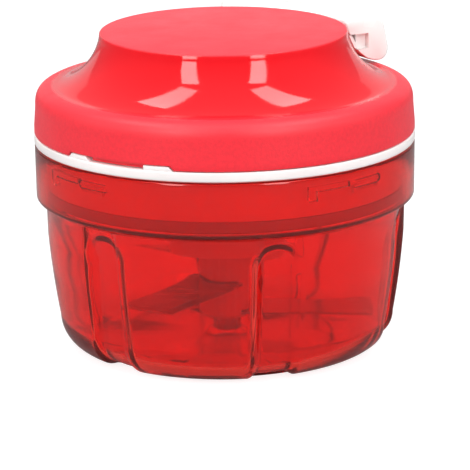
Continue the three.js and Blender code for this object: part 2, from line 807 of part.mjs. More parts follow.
// The fixed post that the reel turns on, slotted for the spring's inner end
function springPost() {
  const grooveLow = clipTop - clipHeight - fitGap / 2;
  const grooveTop = clipTop + fitGap / 2;
  const post = turned([
    [0, axleLow], [axleRadius, axleLow], [axleRadius, grooveLow], [axleRadius - clipGroove, grooveLow],
    [axleRadius - clipGroove, grooveTop], [axleRadius, grooveTop], [axleRadius, axleHigh], [0, axleHigh],
  ], smallSteps);
  const width = springStrip / 2 + fitGap;
  const slot = new THREE.BoxGeometry(width * 2, axleRadius * 2 + cutOverrun, springHeight + fitGap * 2);
  return post.subtract(solid(slot.translate(0, 0, drumLow + fitGap + springHeight / 2 + fitGap)));
}

function reelClip() {
  const outer = axleRadius + clipReach;
  const ring = tube(axleRadius - clipGroove + fitGap, outer, clipTop - clipHeight, clipTop);
  const [low, high] = [clipTop - clipHeight - cutOverrun, clipTop + cutOverrun];
  return ring.subtract(arcBlock(0, outer + cutOverrun, low, high, clipMouthAngle / 2));
}

// The reel: a drum between two flanges, open above for the spring, with the ratchet ring below
function cordReel() {
  const bore = axleRadius + fitGap;
  const hub = bore + reelHubWall;
  const flange = drumRadius + flangeReach;
  const high = drumHigh + flangeWidth;
  const body = turned([
    [bore, reelHubLow], [hub, reelHubLow], [hub, webLow], [flange, webLow], [flange, drumLow],
    [drumRadius, drumLow], [drumRadius, drumHigh], [flange, drumHigh], [flange, high],
    [drumInner, high], [drumInner, drumLow], [bore, drumLow],
  ], middleSteps);
  const ring = new THREE.Shape();
  ring.absarc(0, 0, ratchetRoot + ratchetWall, 0, Math.PI * 2, false);
  const teeth = new THREE.Path();
  for (let tooth = 0; tooth < toothCount; tooth += 1) {
    const start = (tooth * 2 * Math.PI) / toothCount;
    const end = ((tooth + 1) * 2 * Math.PI) / toothCount;
    const [root, tip] = [ratchetRoot, ratchetRoot - ratchetDepth];
    teeth[tooth ? 'lineTo' : 'moveTo'](root * Math.cos(start), root * Math.sin(start));
    teeth.lineTo(tip * Math.cos(end), tip * Math.sin(end));
  }
  teeth.closePath();
  ring.holes.push(teeth);
  return body.add(raised(ring, ratchetLow, webLow + flangeWidth / 2));
}

// The flat spiral spring from the slotted post out to the drum's wall
function recoilSpring() {
  const low = drumLow + fitGap;
  const high = low + springHeight;
  const outer = drumInner - springOuterGap - springStrip;
  const steps = springTurns * springSteps;
  const rings = Array.from({ length: steps + 1 }, (_, n) => {
    const radius = springInner + ((outer - springInner) * n) / steps;
    const azimuth = (n * 360) / springSteps;
    return [
      loftPoint(radius, low, azimuth), loftPoint(radius + springStrip, low, azimuth),
      loftPoint(radius + springStrip, high, azimuth), loftPoint(radius, high, azimuth),
    ];
  });
  const tongue = new THREE.BoxGeometry(springStrip, springInner, springHeight);
  tongue.translate(0, -springInner / 2 - springStrip / 2, low + springHeight / 2);
  return loft(rings).add(solid(tongue));
}

// The clutch disc with its pawl pins, in one piece with the shaft below it
function driveShaft() {
  const foot = socketTop - socketSeat + fitGap;
  const disc = turned([
    [0, foot], [shaftRadius, foot], [shaftRadius, clutchLow], [clutchRadius, clutchLow],
    [clutchRadius, clutchTop], [0, clutchTop],
  ], middleSteps);
  const pinTop = clutchTop + fitGap + pawlHeight + pawlPinProud;
  const pin = rod(pawlPinRadius, clutchTop - fitGap, pinTop, screwSteps);
  const pins = ringOf(pawlCount, pawlBacklashAngle + pawlLeadAngle, pin.translate([0, -pawlPivot, 0]));
  const pilot = rod(socketScrewRadius + fitGap, foot - cutOverrun, foot + shaftPilot, screwSteps);
  return disc.add(pins).subtract(pilot);
}

// A pawl from its eye on the clutch's pin to its tip, a little clear of the tooth face that drives it
function pawl(order) {
  const low = clutchTop + fitGap;
  const tip = new THREE.Vector2(0, -pawlTip);
  const lead = degToRad(pawlLeadAngle);
  const pivot = new THREE.Vector2(pawlPivot * Math.sin(lead), -pawlPivot * Math.cos(lead));
  const along = tip.clone().sub(pivot).normalize();
  const across = new THREE.Vector2(-along.y, along.x);
  const facing = Math.atan2(across.y, across.x);
  const shape = new THREE.Shape();
  shape.absarc(pivot.x, pivot.y, pawlEye, facing, facing + Math.PI, false);
  shape.lineTo(tip.x - (across.x * pawlTipWidth) / 2, tip.y - (across.y * pawlTipWidth) / 2);
  shape.lineTo(tip.x + (across.x * pawlTipWidth) / 2, tip.y + (across.y * pawlTipWidth) / 2);
  shape.closePath();
  const hole = rod(pawlPinRadius + fitGap, low - cutOverrun, low + pawlHeight + cutOverrun, screwSteps);
  const body = raised(shape, low, low + pawlHeight).subtract(hole.translate([pivot.x, pivot.y, 0]));
  return body.rotate([0, 0, pawlBacklashAngle + (order * 360) / pawlCount]);
}

// A flanged bush, from its flange's outer face to the far end of its sleeve
function bearing(flangeFace, sleeveEnd) {
  const flangeBack = flangeFace + Math.sign(sleeveEnd - flangeFace) * bearingFlangeHeight;
  const flange = bearingRadius + bearingFlange;
  return turned([
    [bearingBore, flangeFace], [flange, flangeFace], [flange, flangeBack], [bearingRadius, flangeBack],
    [bearingRadius, sleeveEnd], [bearingBore, sleeveEnd],
  ], smallSteps);
}

function driveSocket() {
  const cup = turned([
    [0, socketLow], [socketRadius, socketLow], [socketRadius - socketTaper, socketTop], [0, socketTop],
  ], middleSteps);
  const seat = rod(shaftRadius + fitGap, socketTop - socketSeat, socketTop + cutOverrun, middleSteps);
  const hole = rod(socketScrewRadius + fitGap, socketLow, socketTop, screwSteps);
  const mouth = hexagon(keyAcross + keyClearance * 2, socketLow - cutOverrun, socketRoof);
  return cup.subtract(seat).subtract(hole).subtract(mouth);
}

function socketScrew() {
  const seat = socketRoof - fitGap;
  const end = seat + socketScrewLength;
  return turned([
    [0, seat - socketScrewHeadHeight], [socketScrewHead, seat - socketScrewHeadHeight],
    [socketScrewHead, seat], [socketScrewRadius, seat], [socketScrewRadius, end], [0, end],
  ], screwSteps);
}

// The grip's section at an azimuth from its middle: drawn in at the ends to round them
function gripRing(azimuth) {
  const endShare = clamp((Math.abs(azimuth) - (gripHalfAngle - gripEndAngle)) / gripEndAngle, 0, 1);
  const drawnIn = gripEndRound * (1 - Math.sqrt(1 - endShare * endShare));
  const width = gripWidth - drawnIn;
  const height = gripHeight - drawnIn;
  return gripSectionShares.map(([inwards, upwards]) => loftPoint(
    gripOuter - drawnIn - width * inwards + (drawnIn * inwards) / 2,
    gripTop - gripHeight + drawnIn / 2 + height * upwards, azimuth,
  ));
}

// Radius of the grip's inner face at a height, from its section
function gripInnerAt(height) {
  const share = (height - gripTop + gripHeight) / gripHeight;
  const face = [...gripSectionShares.slice(-3), ...gripSectionShares.slice(0, 2)];
  const n = face.findIndex((point, i) => i + 1 < face.length && face[i + 1][1] <= share);
  const [upper, lower] = [face[n], face[n + 1]];
  const along = (upper[1] - share) / (upper[1] - lower[1]);
  return gripOuter - gripWidth * (upper[0] + (lower[0] - upper[0]) * along);
}

const channelLow = gripTop - gripHeight + channelLift;
const channelTop = channelLow + channelHeight;
const channelMiddle = channelLow + channelHeight / 2;
const channelRadius = gripInnerAt(channelMiddle) + channelDepth;

// A wedge of the insert's profile, following the grip's inner face
function insertPlate(halfSpan, depth, steps) {
  const [low, high] = [channelLow + fitGap, channelTop - fitGap];
  const rings = Array.from({ length: steps + 1 }, (_, n) => {
    const azimuth = -halfSpan + (2 * halfSpan * n) / steps;
    return [
      loftPoint(gripInnerAt(low), low, azimuth), loftPoint(gripInnerAt(low) + depth, low, azimuth),
      loftPoint(gripInnerAt(high) + depth, high, azimuth), loftPoint(gripInnerAt(high), high, azimuth),
    ];
  });
  return loft(rings);
}

function handleGrip() {
  const middle = Array.from({ length: gripSteps + 1 }, (_, n) =>
    (gripHalfAngle - gripEndAngle) * ((2 * n) / gripSteps - 1));
  const rounding = gripEndShares.map((share) => gripHalfAngle - gripEndAngle * (1 - share));
  const azimuths = [...rounding.map((azimuth) => -azimuth).reverse(), ...middle, ...rounding];
  const inner = gripOuter - gripWidth - cutOverrun;
  const channel = arcBlock(inner, channelRadius, channelLow, channelTop, gripHalfAngle + cutOverrun);
  const holeEnd = channelRadius + handleScrewReach + fitGap;
  const hole = radialRod(handleScrewRadius + fitGap, channelRadius - fitGap, holeEnd, channelMiddle);
  const holes = hole.rotate([0, 0, -handleScrewAngle]).add(hole.rotate([0, 0, handleScrewAngle]));
  return loft(azimuths.map(gripRing)).subtract(channel).subtract(holes).rotate([0, 0, pullAzimuth]);
}

// The insert: a plate in the mouth of the grip's channel, with the cord's anchor block and two screw blocks
function handleInsert() {
  const span = gripHalfAngle - gripEndAngle / 2;
  const inner = gripInnerAt(channelTop) + insertWall / 2;
  const [low, high] = [channelLow + fitGap, channelTop - fitGap];
  const block = (width, azimuth) => {
    const half = spanAt(width / 2, channelRadius);
    return arcBlock(inner, channelRadius - fitGap, low, high, half).rotate([0, 0, azimuth]);
  };
  const plate = insertPlate(span, insertWall, gripSteps);
  const trim = insertPlate(span, channelDepth * 2, gripSteps);
  const sides = [-handleScrewAngle, handleScrewAngle];
  const bosses = sides.map((azimuth) => block(handleBossWidth, azimuth));
  const blocks = bosses.reduce((joined, boss) => joined.add(boss), block(anchorWidth, 0));
  const [near, far] = [inner - cutOverrun, channelRadius + cutOverrun];
  const hole = radialRod(handleScrewRadius + fitGap, near, far, channelMiddle);
  const anchor = radialRod(anchorBore, near, far, channelMiddle);
  const whole = plate.add(blocks.intersect(trim)).subtract(anchor);
  const drilled = sides.reduce((body, azimuth) => body.subtract(hole.rotate([0, 0, azimuth])), whole);
  return drilled.rotate([0, 0, pullAzimuth]);
}

function handleScrew(side) {
  const seat = gripInnerAt(channelTop) - fitGap;
  const start = seat - handleScrewHeadHeight;
  const head = radialRod(handleScrewHead, start, seat, channelMiddle);
  const shank = radialRod(handleScrewRadius, start, channelRadius + handleScrewReach, channelMiddle);
  return head.add(shank).rotate([0, 0, pullAzimuth + side * handleScrewAngle]);
}

// Materials
const finish = (color, roughness, metalness = 0) =>
  new THREE.MeshStandardMaterial({ color, roughness, metalness });
const clearRed = finish(0xd42a30, 0.2);
clearRed.transparent = true;
clearRed.opacity = 0.6;
const satinRed = finish(0xf0464c, 0.45);
const white = finish(0xf5ece8, 0.4);
const nylon = finish(0xe6e2d8, 0.5);
const silicone = finish(0xd9d4cc, 0.7);
const steel = finish(0xb9bcc0, 0.25, 1);
const springSteel = finish(0x7d8288, 0.35, 1);

const chopper = new THREE.Group();
const add = (name, body, material) => chopper.add(piece(name, body, material));

add('bowl', bowl(), clearRed);
add('pivot_pin', turned([
  [0, pinLow], [pinRadius, pinLow], [pinRadius, pinLow + pinLength - hubRound],
  [pinRadius - hubRound, pinLow + pinLength], [0, pinLow + pinLength],
], smallSteps), steel);
add('pivot_bush', tube(pinRadius + fitGap, pinRadius + fitGap + bushReach, bushLow, bushTop), nylon);
add('blade_hub', bladeHub(), white);
bladeNames.forEach((name, order) => add(name, blade(order), steel));
add('inner_lid', innerLid(), white);
add('lid_seal', lidSeal(), silicone);
add('cover', cover(), satinRed);
for (let n = 0; n < screwCount; n += 1) add(`cover_screw_${n + 1}`, coverScrew(n), steel);
add('cord_guide', cordGuide(), white);
add('spring_post', springPost(), steel);
add('reel_clip', reelClip(), steel);
const washer = tube(axleRadius + fitGap, axleRadius + washerReach, washerTop - washerHeight, washerTop);
add('reel_washer', washer, nylon);
add('cord_reel', cordReel(), nylon);
add('recoil_spring', recoilSpring(), springSteel);
add('spring_cap', tube(axleRadius + fitGap, drumInner - fitGap, drumHigh + flangeWidth - springCapHeight,
  drumHigh + flangeWidth, middleSteps), nylon);
add('drive_shaft', driveShaft(), nylon);
for (let n = 0; n < pawlCount; n += 1) add(`pawl_${n + 1}`, pawl(n), steel);
add('upper_bearing', bearing(clutchLow - fitGap, towerTop - bearingLength), nylon);
add('lower_bearing', bearing(socketTop + fitGap, lidFloorLow + bearingLength), nylon);
add('drive_socket', driveSocket(), white);
add('socket_screw', socketScrew(), steel);
add('handle_grip', handleGrip(), white);
add('handle_insert', handleInsert(), white);
add('handle_screw_1', handleScrew(-1), steel);
add('handle_screw_2', handleScrew(1), steel);

export default chopper;
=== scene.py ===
import math

import bmesh
import bpy
from bpy.props import FloatProperty, FloatVectorProperty, PointerProperty
from mathutils import Matrix, Vector
from mathutils.geometry import interpolate_bezier


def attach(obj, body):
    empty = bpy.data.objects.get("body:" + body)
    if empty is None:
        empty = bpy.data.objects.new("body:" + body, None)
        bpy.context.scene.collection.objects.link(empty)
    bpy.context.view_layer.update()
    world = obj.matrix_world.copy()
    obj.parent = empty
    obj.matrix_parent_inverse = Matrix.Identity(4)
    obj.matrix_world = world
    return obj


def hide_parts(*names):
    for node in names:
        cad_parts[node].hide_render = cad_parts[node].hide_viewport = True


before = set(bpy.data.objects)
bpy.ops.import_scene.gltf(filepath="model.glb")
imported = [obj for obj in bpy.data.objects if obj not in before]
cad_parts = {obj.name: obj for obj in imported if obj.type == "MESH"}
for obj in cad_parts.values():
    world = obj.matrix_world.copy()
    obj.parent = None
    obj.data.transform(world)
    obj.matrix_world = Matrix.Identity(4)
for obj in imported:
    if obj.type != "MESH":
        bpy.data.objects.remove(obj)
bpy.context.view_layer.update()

bl_info = {
    "name": "Vegetable chopper",
    "version": (1, 0, 0),
    "blender": (4, 5, 0),
    "location": "3D View > Sidebar > Chopper",
    "description": "Finishes the packed vegetable chopper with smooth shells, plastics and steel",
    "category": "Object",
}

# Bare lengths are millimetres and bare angles are degrees; a vertex and a property hold metres
# A profile is a list of radius and height, where a third number rounds the corner
MM = 0.001
SAME_PLACE = 2e-6
PLANE_SLACK = 1e-7
FLUTE_AZIMUTH = -73.4
FLUTE_PITCH = 60
TAB_AZIMUTH = -123.9
PULL_AZIMUTH = 58


# Mesh tools

def wire(bm, points, closed=True):
    """Draws a profile as a wire in the XZ plane, with its corners rounded"""
    verts = [bm.verts.new((point[0] * MM, 0, point[1] * MM)) for point in points]
    ends = verts[1:] + verts[:1] if closed else verts[1:]
    for start, end in zip(verts, ends):
        bm.edges.new((start, end))
    for vert, point in zip(verts, points):
        if len(point) > 2:
            bmesh.ops.bevel(
                bm, geom=[vert], offset=point[2] * MM, offset_type="OFFSET", affect="VERTICES",
                segments=4 + int(point[2]), profile=0.5, material=-1,
            )


def refine(bm, spacing, low, high, inner=0):
    """Cuts the profile's edges between two heights into short lengths"""
    for edge in bm.edges[:]:
        heights = [vert.co.z / MM for vert in edge.verts]
        nearest = min(vert.co.x for vert in edge.verts) / MM
        cuts = int(edge.calc_length() / MM / spacing)
        if cuts and nearest > inner and min(heights) > low - 0.01 and max(heights) < high + 0.01:
            bmesh.ops.subdivide_edges(bm, edges=[edge], cuts=cuts)


def turn(bm, steps, angle=360, geometry=None):
    """Spins the profile about the upright axis and returns its last copy"""
    spun = bmesh.ops.spin(
        bm, geom=geometry or bm.verts[:] + bm.edges[:], cent=(0, 0, 0), axis=(0, 0, 1), dvec=(0, 0, 0),
        angle=math.radians(angle), steps=steps, use_merge=angle == 360, use_duplicate=False,
    )
    return spun["geom_last"]


def turned(points, steps, closed=True):
    """A bmesh turned from a profile"""
    bm = bmesh.new()
    wire(bm, points, closed)
    turn(bm, steps)
    return bm


def rotate(bm, verts, azimuth):
    """Turns vertices about the upright axis"""
    matrix = Matrix.Rotation(math.radians(azimuth), 3, "Z")
    bmesh.ops.rotate(bm, verts=verts, cent=(0, 0, 0), matrix=matrix)


def swept(bm, corners, azimuth, span, steps, rounding=0.0):
    """Adds a block: a profile of four corners swept round the axis, centred on an azimuth"""
    before = set(bm.verts)
    verts = [bm.verts.new((radius * MM, 0, height * MM)) for radius, height in corners]
    face = bm.faces.new(verts)
    bmesh.ops.spin(
        bm, geom=[face] + verts + list(face.edges), cent=(0, 0, 0), axis=(0, 0, 1), dvec=(0, 0, 0),
        angle=math.radians(span), steps=steps, use_merge=False, use_duplicate=False,
    )
    added = [vert for vert in bm.verts if vert not in before]
    rotate(bm, added, azimuth - span / 2)
    faces = list(dict.fromkeys(near for vert in added for near in vert.link_faces))
    bmesh.ops.recalc_face_normals(bm, faces=faces)
    if rounding:
        edges = dict.fromkeys(edge for near in faces for edge in near.edges)
        sharp = [edge for edge in edges if edge.calc_face_angle(0) > math.radians(30)]
        bmesh.ops.bevel(
            bm, geom=sharp, offset=rounding * MM, offset_type="OFFSET", affect="EDGES",
            segments=2, profile=0.5, material=-1,
        )
        added = [vert for vert in bm.verts if vert not in before]
    return added


def cut_at(bm, geometry, azimuth):
    """Cuts geometry with the upright plane through the axis at an azimuth, and returns it with the cut"""
    side = math.radians(azimuth)
    return bmesh.ops.bisect_plane(
        bm, geom=geometry, dist=PLANE_SLACK, plane_co=(0, 0, 0),
        plane_no=(-math.sin(side), math.cos(side), 0), use_snap_center=False,
    )["geom"]


def bezier(start, first, second, end, count):
    """Points of a curve in a profile, without its first point"""
    knots = [Vector(point) for point in (start, first, second, end)]
    curve = interpolate_bezier(*knots, count + 1)
    return [(point.x, point.y) for point in curve[1:]]


def smooth_loop(points, count):
    """A closed smooth curve through the points of a profile"""
    total = len(points)
    loop = []
    for n in range(total):
        before, start, end, after = (Vector(points[(n + k) % total]) for k in (-1, 0, 1, 2))
        first = start + (end - before) / 6
        second = end - (after - start) / 6
        loop += [(start.x, start.y)] + bezier(start, first, second, end, count)[:-1]
    return loop


def radius_and_height(vert):
    """A vertex's distance from the axis and its height"""
    return math.hypot(vert.co.x, vert.co.y) / MM, vert.co.z / MM


def azimuth_of(vert):
    """A vertex's azimuth"""
    return math.degrees(math.atan2(vert.co.y, vert.co.x))


def seen_along(place, azimuth):
    """How far a place lies out along an azimuth, and how far across it"""
    side = math.radians(azimuth)
    along = place.x * math.cos(side) + place.y * math.sin(side)
    across = place.y * math.cos(side) - place.x * math.sin(side)
    return along / MM, across / MM


def around(azimuth, middle, period=360):
    """The signed angle from a middle azimuth that repeats with a period"""
    return (azimuth - middle + period / 2) % period - period / 2


def scale_radius(vert, share):
    """Moves a vertex towards the axis or away from it"""
    vert.co.x *= share
    vert.co.y *= share


def smoothstep(share):
    """A soft step from 0 to 1"""
    share = min(max(share, 0), 1)
    return share * share * (3 - 2 * share)


def add_piece(bm, name, body, slot, finish, *nodes, sharp=34):
    """Closes the mesh, makes it an object and seats it on a body of the frame"""
    bmesh.ops.remove_doubles(bm, verts=bm.verts[:], dist=SAME_PLACE)
    bmesh.ops.recalc_face_normals(bm, faces=bm.faces[:])
    if any(edge.is_boundary for edge in bm.edges):
        raise RuntimeError(f"{name} isn't closed")
    mesh = bpy.data.meshes.new(name)
    bm.to_mesh(mesh)
    bm.free()
    mesh.shade_smooth()
    mesh.set_sharp_from_angle(angle=math.radians(sharp))
    mesh.materials.append(finish)
    piece = bpy.data.objects.new(name, mesh)
    bpy.context.scene.collection.objects.link(piece)
    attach(piece, body)
    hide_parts(*nodes)


def dress_nodes(finish, *nodes):
    """Gives nodes of the frame their finish"""
    for node in nodes:
        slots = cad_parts[node].material_slots
        if not slots:
            raise RuntimeError(f"node {node} has no material slot")
        for slot in slots:
            slot.material = finish


# Finishes, in metres as the shader has them

PLASTIC_IOR = 1.49
DOME_EDGE = (0.0405, 0.0409)
SKIRT_EDGE = (0.0564, 0.0574)


class Nodes:
    """A material's node tree, built from the shader backwards"""

    def __init__(self, name):
        self.material = bpy.data.materials.new(name)
        self.material.use_nodes = True
        self.tree = self.material.node_tree
        self.shader = self.tree.nodes["Principled BSDF"]
        self.place = self.add("ShaderNodeTexCoord").outputs["Object"]

    def add(self, kind, inputs=None, **settings):
        node = self.tree.nodes.new(kind)
        for key, value in settings.items():
            setattr(node, key, value)
        for key, value in (inputs or {}).items():
            self.feed(node.inputs[key], value)
        return node

    def feed(self, socket, value):
        """Links a socket to another node's output, or sets its value"""
        if isinstance(value, bpy.types.NodeSocket):
            self.tree.links.new(value, socket)
        else:
            socket.default_value = value

    def link(self, output, socket):
        self.tree.links.new(output, self.shader.inputs[socket])

    def set(self, socket, value):
        self.shader.inputs[socket].default_value = value

    def noise(self, scale, detail=3, roughness=0.5, place=None):
        node = self.add("ShaderNodeTexNoise", {
            "Vector": place or self.place, "Scale": scale, "Detail": detail, "Roughness": roughness,
        })
        return node.outputs["Fac"]

    def ramp(self, value, low, high, start, end):
        node = self.add("ShaderNodeMapRange", {
            "Value": value, "From Min": low, "From Max": high, "To Min": start, "To Max": end,
        })
        return node.outputs["Result"]

    def mix(self, share, first, second):
        node = self.add("ShaderNodeMix", data_type="RGBA")
        for name, value in (("Factor", share), ("A", first), ("B", second)):
            self.feed(next(s for s in node.inputs if s.name == name and s.enabled), value)
        return next(s for s in node.outputs if s.enabled)

    def clouded(self, noise, colour, spread, low=0.3, high=0.7):
        """A colour that a noise darkens and brightens a little"""
        cloud = self.ramp(noise, low, high, 0, 1)
        return self.mix(cloud, rgba(colour, 1 - spread), rgba(colour, 1 + spread))

    def math(self, operation, first, second=0.0):
        node = self.add("ShaderNodeMath", {0: first, 1: second}, operation=operation)
        return node.outputs[0]

    def bump(self, height, distance):
        inputs = {"Height": height, "Distance": distance, "Strength": 1.0}
        return self.add("ShaderNodeBump", inputs).outputs["Normal"]

    def edges(self, low=0.52, high=0.62):
        """How far a point lies on an outer edge, where a painted highlight lightens it"""
        pointiness = self.add("ShaderNodeNewGeometry").outputs["Pointiness"]
        return self.ramp(pointiness, low, high, 0, 1)


def rgba(colour, share=1.0):
    """A colour with its alpha, brightened or darkened by a share"""
    return tuple(min(channel * share, 1) for channel in colour) + (1,)


def moulded(name, colour, roughness, spread, grain, depth, edge_highlight=0.25):
    """Opaque moulded plastic: faint cloudiness, fine grain and paler outer edges, which are a painted
    highlight
    """
    n = Nodes(name)
    body = n.clouded(n.noise(45, 4), colour, 0.04)
    # Outer edges found by pointiness are mixed towards a paler colour: a painted highlight
    with_edge_highlight = n.mix(n.math("MULTIPLY", n.edges(), edge_highlight), body, rgba(tuple(0.5 + c / 2 for c in colour)))
    n.link(with_edge_highlight, "Base Color")
    n.link(n.ramp(n.noise(120, 2), 0.3, 0.7, roughness - spread, roughness + spread), "Roughness")
    n.link(n.bump(n.noise(grain, 2), depth), "Normal")
    n.set("IOR", PLASTIC_IOR)
    return n.material


def clear_red_finish(colour):
    """Clear tinted plastic: its walls deepen the red, with faint flow marks and scuffs"""
    n = Nodes("clear_red_plastic")
    n.set("Transmission Weight", 0.95)
    n.set("IOR", PLASTIC_IOR)
    n.link(n.clouded(n.noise(18, 3), colour, 0.01, 0.35, 0.65), "Base Color")
    n.link(n.ramp(n.noise(70, 4), 0.35, 0.75, 0.05, 0.11), "Roughness")
    n.link(n.bump(n.noise(60, 1), 0.00002), "Normal")
    return n.material


def cover_finish(polished_red, satin_red):
    """Red cover: polished flank, satin dome and skirt, told apart by their distance from the axis"""
    n = Nodes("red_cover_plastic")
    split = n.add("ShaderNodeSeparateXYZ", {"Vector": n.place})
    squares = [n.math("POWER", split.outputs[axis], 2.0) for axis in "XY"]
    radius = n.math("SQRT", n.math("ADD", *squares))
    satin = n.math("ADD", n.ramp(radius, *DOME_EDGE, 1, 0), n.ramp(radius, *SKIRT_EDGE, 0, 1))
    polished = n.clouded(n.noise(40, 3), polished_red, 0.03)
    grained = n.clouded(n.noise(900, 2), satin_red, 0.05)
    body = n.mix(satin, polished, grained)
    # Outer edges found by pointiness are mixed towards pink: a painted highlight standing in for the
    # crests' sheen
    with_edge_highlight = n.mix(n.math("MULTIPLY", n.edges(), 0.2), body, (0.95, 0.45, 0.45, 1))
    n.link(with_edge_highlight, "Base Color")
    gloss = n.ramp(n.noise(90, 3), 0.3, 0.7, 0.05, 0.09)
    matt = n.ramp(n.noise(90, 3), 0.3, 0.7, 0.38, 0.46)
    n.link(n.math("ADD", n.math("MULTIPLY", satin, n.math("SUBTRACT", matt, gloss)), gloss), "Roughness")
    n.link(n.bump(n.math("MULTIPLY", n.noise(2600, 1), satin), 0.00006), "Normal")
    n.set("IOR", PLASTIC_IOR)
    n.set("Sheen Weight", 0.06)
    n.set("Sheen Roughness", 0.5)
    n.set("Sheen Tint", (0.6, 0.75, 1, 1))
    return n.material


def steel_finish(name, colour, roughness, stretch):
    """Steel with fine brushed lines along one direction"""
    n = Nodes(name)
    n.set("Metallic", 1.0)
    mapping = n.add("ShaderNodeMapping", {"Vector": n.place, "Scale": stretch})
    lines = n.noise(300, 3, 0.6, mapping.outputs["Vector"])
    n.link(n.mix(n.ramp(lines, 0.3, 0.7, 0, 1), rgba(colour, 0.85), rgba(colour, 1.05)), "Base Color")
    n.link(n.ramp(lines, 0.3, 0.7, roughness - 0.06, roughness + 0.08), "Roughness")
    n.link(n.bump(lines, 0.000015), "Normal")
    return n.material


def stage_finish(name, colour, mirrored):
    """A matt white board that shows white round the object, with its brightness in reflections"""
    n = Nodes(name)
    n.link(n.clouded(n.noise(3, 2), colour, 0.01), "Base Color")
    n.set("Roughness", 0.9)
    n.set("Specular IOR Level", 0.1)
    n.set("Emission Color", (1, 1, 1, 1))
    ray = n.add("ShaderNodeLightPath").outputs
    shares = (("Is Camera Ray", 0.86), ("Is Transmission Ray", 0.45), ("Is Glossy Ray", mirrored))
    direct, through, glossy = (n.math("MULTIPLY", ray[kind], share) for kind, share in shares)
    n.link(n.math("ADD", n.math("ADD", direct, through), glossy), "Emission Strength")
    return n.material


def make_finishes(colours):
    """All finishes of the object, by name"""
    return {
        "clear_red": clear_red_finish(colours.clear_red),
        "cover": cover_finish(colours.gloss_red, colours.satin_red),
        "handle": moulded("white_handle_plastic", colours.handle, 0.24, 0.05, 500, 0.00001),
        "white": moulded("white_lid_plastic", colours.white, 0.34, 0.06, 900, 0.00002),
        "hub": moulded("white_hub_plastic", colours.hub, 0.35, 0.06, 700, 0.00002),
        "nylon": moulded("natural_nylon", colours.nylon, 0.5, 0.06, 700, 0.00003),
        "silicone": moulded("seal_silicone", colours.seal, 0.6, 0.05, 1200, 0.00003, 0.05),
        "blade": steel_finish("ground_blade_steel", colours.steel, 0.22, (0.15, 1, 1)),
        "steel": steel_finish("plain_steel", colours.steel, 0.3, (1, 1, 0.2)),
        "spring": steel_finish("spring_steel", colours.spring, 0.32, (1, 1, 0.1)),
    }


# Bowl

# The foot's round corner meets the wall at WALL_FOOT, and the step under the band starts at WALL_TOP
WALL_FOOT = 10.8
WALL_TOP = 49.8
NECK_RADIUS = 59.6
STEP_REACH = 3.2
STEP_RISE = 2.3

# Distances from the corner's centre, where BETWEEN lies between the inner and the outer face
CORNER_CENTRE = 45.2
CORNER_BETWEEN = 9.2
CORNER_FLOOR = 8.8
WALL_BETWEEN = 54.9
FLUTE_DRAFT = 0.0856
FLUTE_ARCH = 39.8
FLUTE_WALL = 2.2
FLUTE_INSIDE_REACH = 1.1

# Catches and pockets repeat in every quarter of the band, and a stop stands at each catch's first end
CATCH_SLACK = 0.05
CATCH_START = 25.4
STOP_END = 28.3
CATCH_END = 40
CATCH_FOOT = 64.5
STOP_FOOT = 61.5
CATCH_TOP = 66.1
POCKET_AZIMUTH = 47
POCKET_HEIGHT = 64.95
POCKET_HALF = 5
POCKET_ROUND = 1.45
BAND_DEGREE = 1.058

NIB_PITCH = 45
NIB_CIRCLE = 40.8


def bowl_profile():
    """The bowl's section with plain walls, from the middle of the foot round to the boss"""
    band_inside = [
        (60.66, 66.6), (60.66, 66.25), (60.65, 66), (60.65, 65.6), (60.64, 64.95), (60.64, 64.6),
        (60.63, 64.35), (60.63, 63.9), (60.62, 63.65), (60.62, 63.4), (60.6, 61.6), (60.59, 61.35),
        (60.59, 61.1), (60.5, 52.2, 0.4), (58.8, 52.2, 0.3),
    ]
    boss = [
        (7.6, 3.6, 0.6), (4.6, 5.2, 0.5), (4.6, 8.6, 0.3), (3.3, 8.6, 0.2), (3.3, 3.6), (0, 3.6),
    ]
    return [
        (0, 1), (35.1, 1, 0.25), (35.7, 0.5, 0.25), (37.2, 0.5), (38, 0.5), (38.6, 0.5), (43, 0.5),
        (43.6, 0.5), (44.4, 0.5), (55.8, 0.5, 10.3), (55.8, 10.9), (58.8, 39), (NECK_RADIUS, WALL_TOP),
        (62.8, 52.1), (63, 69.5, 0.7), (60.7, 69.5, 0.4), *band_inside, (57.3, 50.7, 0.4),
        (57.19, 48.7), (56.64, 39), (56.05, 28.45, 3), (53.8, 12.3), (53.8, 3.6, 8.6), (44.2, 3.6), *boss,
    ]


def shape_bowl_body(bm, swell):
    """Swells the wall's profile and gives the step under the band its double curve"""
    for vert in bm.verts:
        radius, height = vert.co.x / MM, vert.co.z / MM
        if WALL_FOOT < height < WALL_TOP + 0.01 and radius > WALL_BETWEEN + (height - WALL_FOOT) * 0.09:
            share = (height - WALL_FOOT) / (WALL_TOP - WALL_FOOT)
            vert.co.x += 4 * swell * share * (1 - share)
        elif WALL_TOP + 0.01 < height < 52.1 and radius > NECK_RADIUS + (height - WALL_TOP) * 0.4:
            share = smoothstep((height - WALL_TOP) / STEP_RISE)
            vert.co.x = (NECK_RADIUS + STEP_REACH * share ** 0.8) * MM


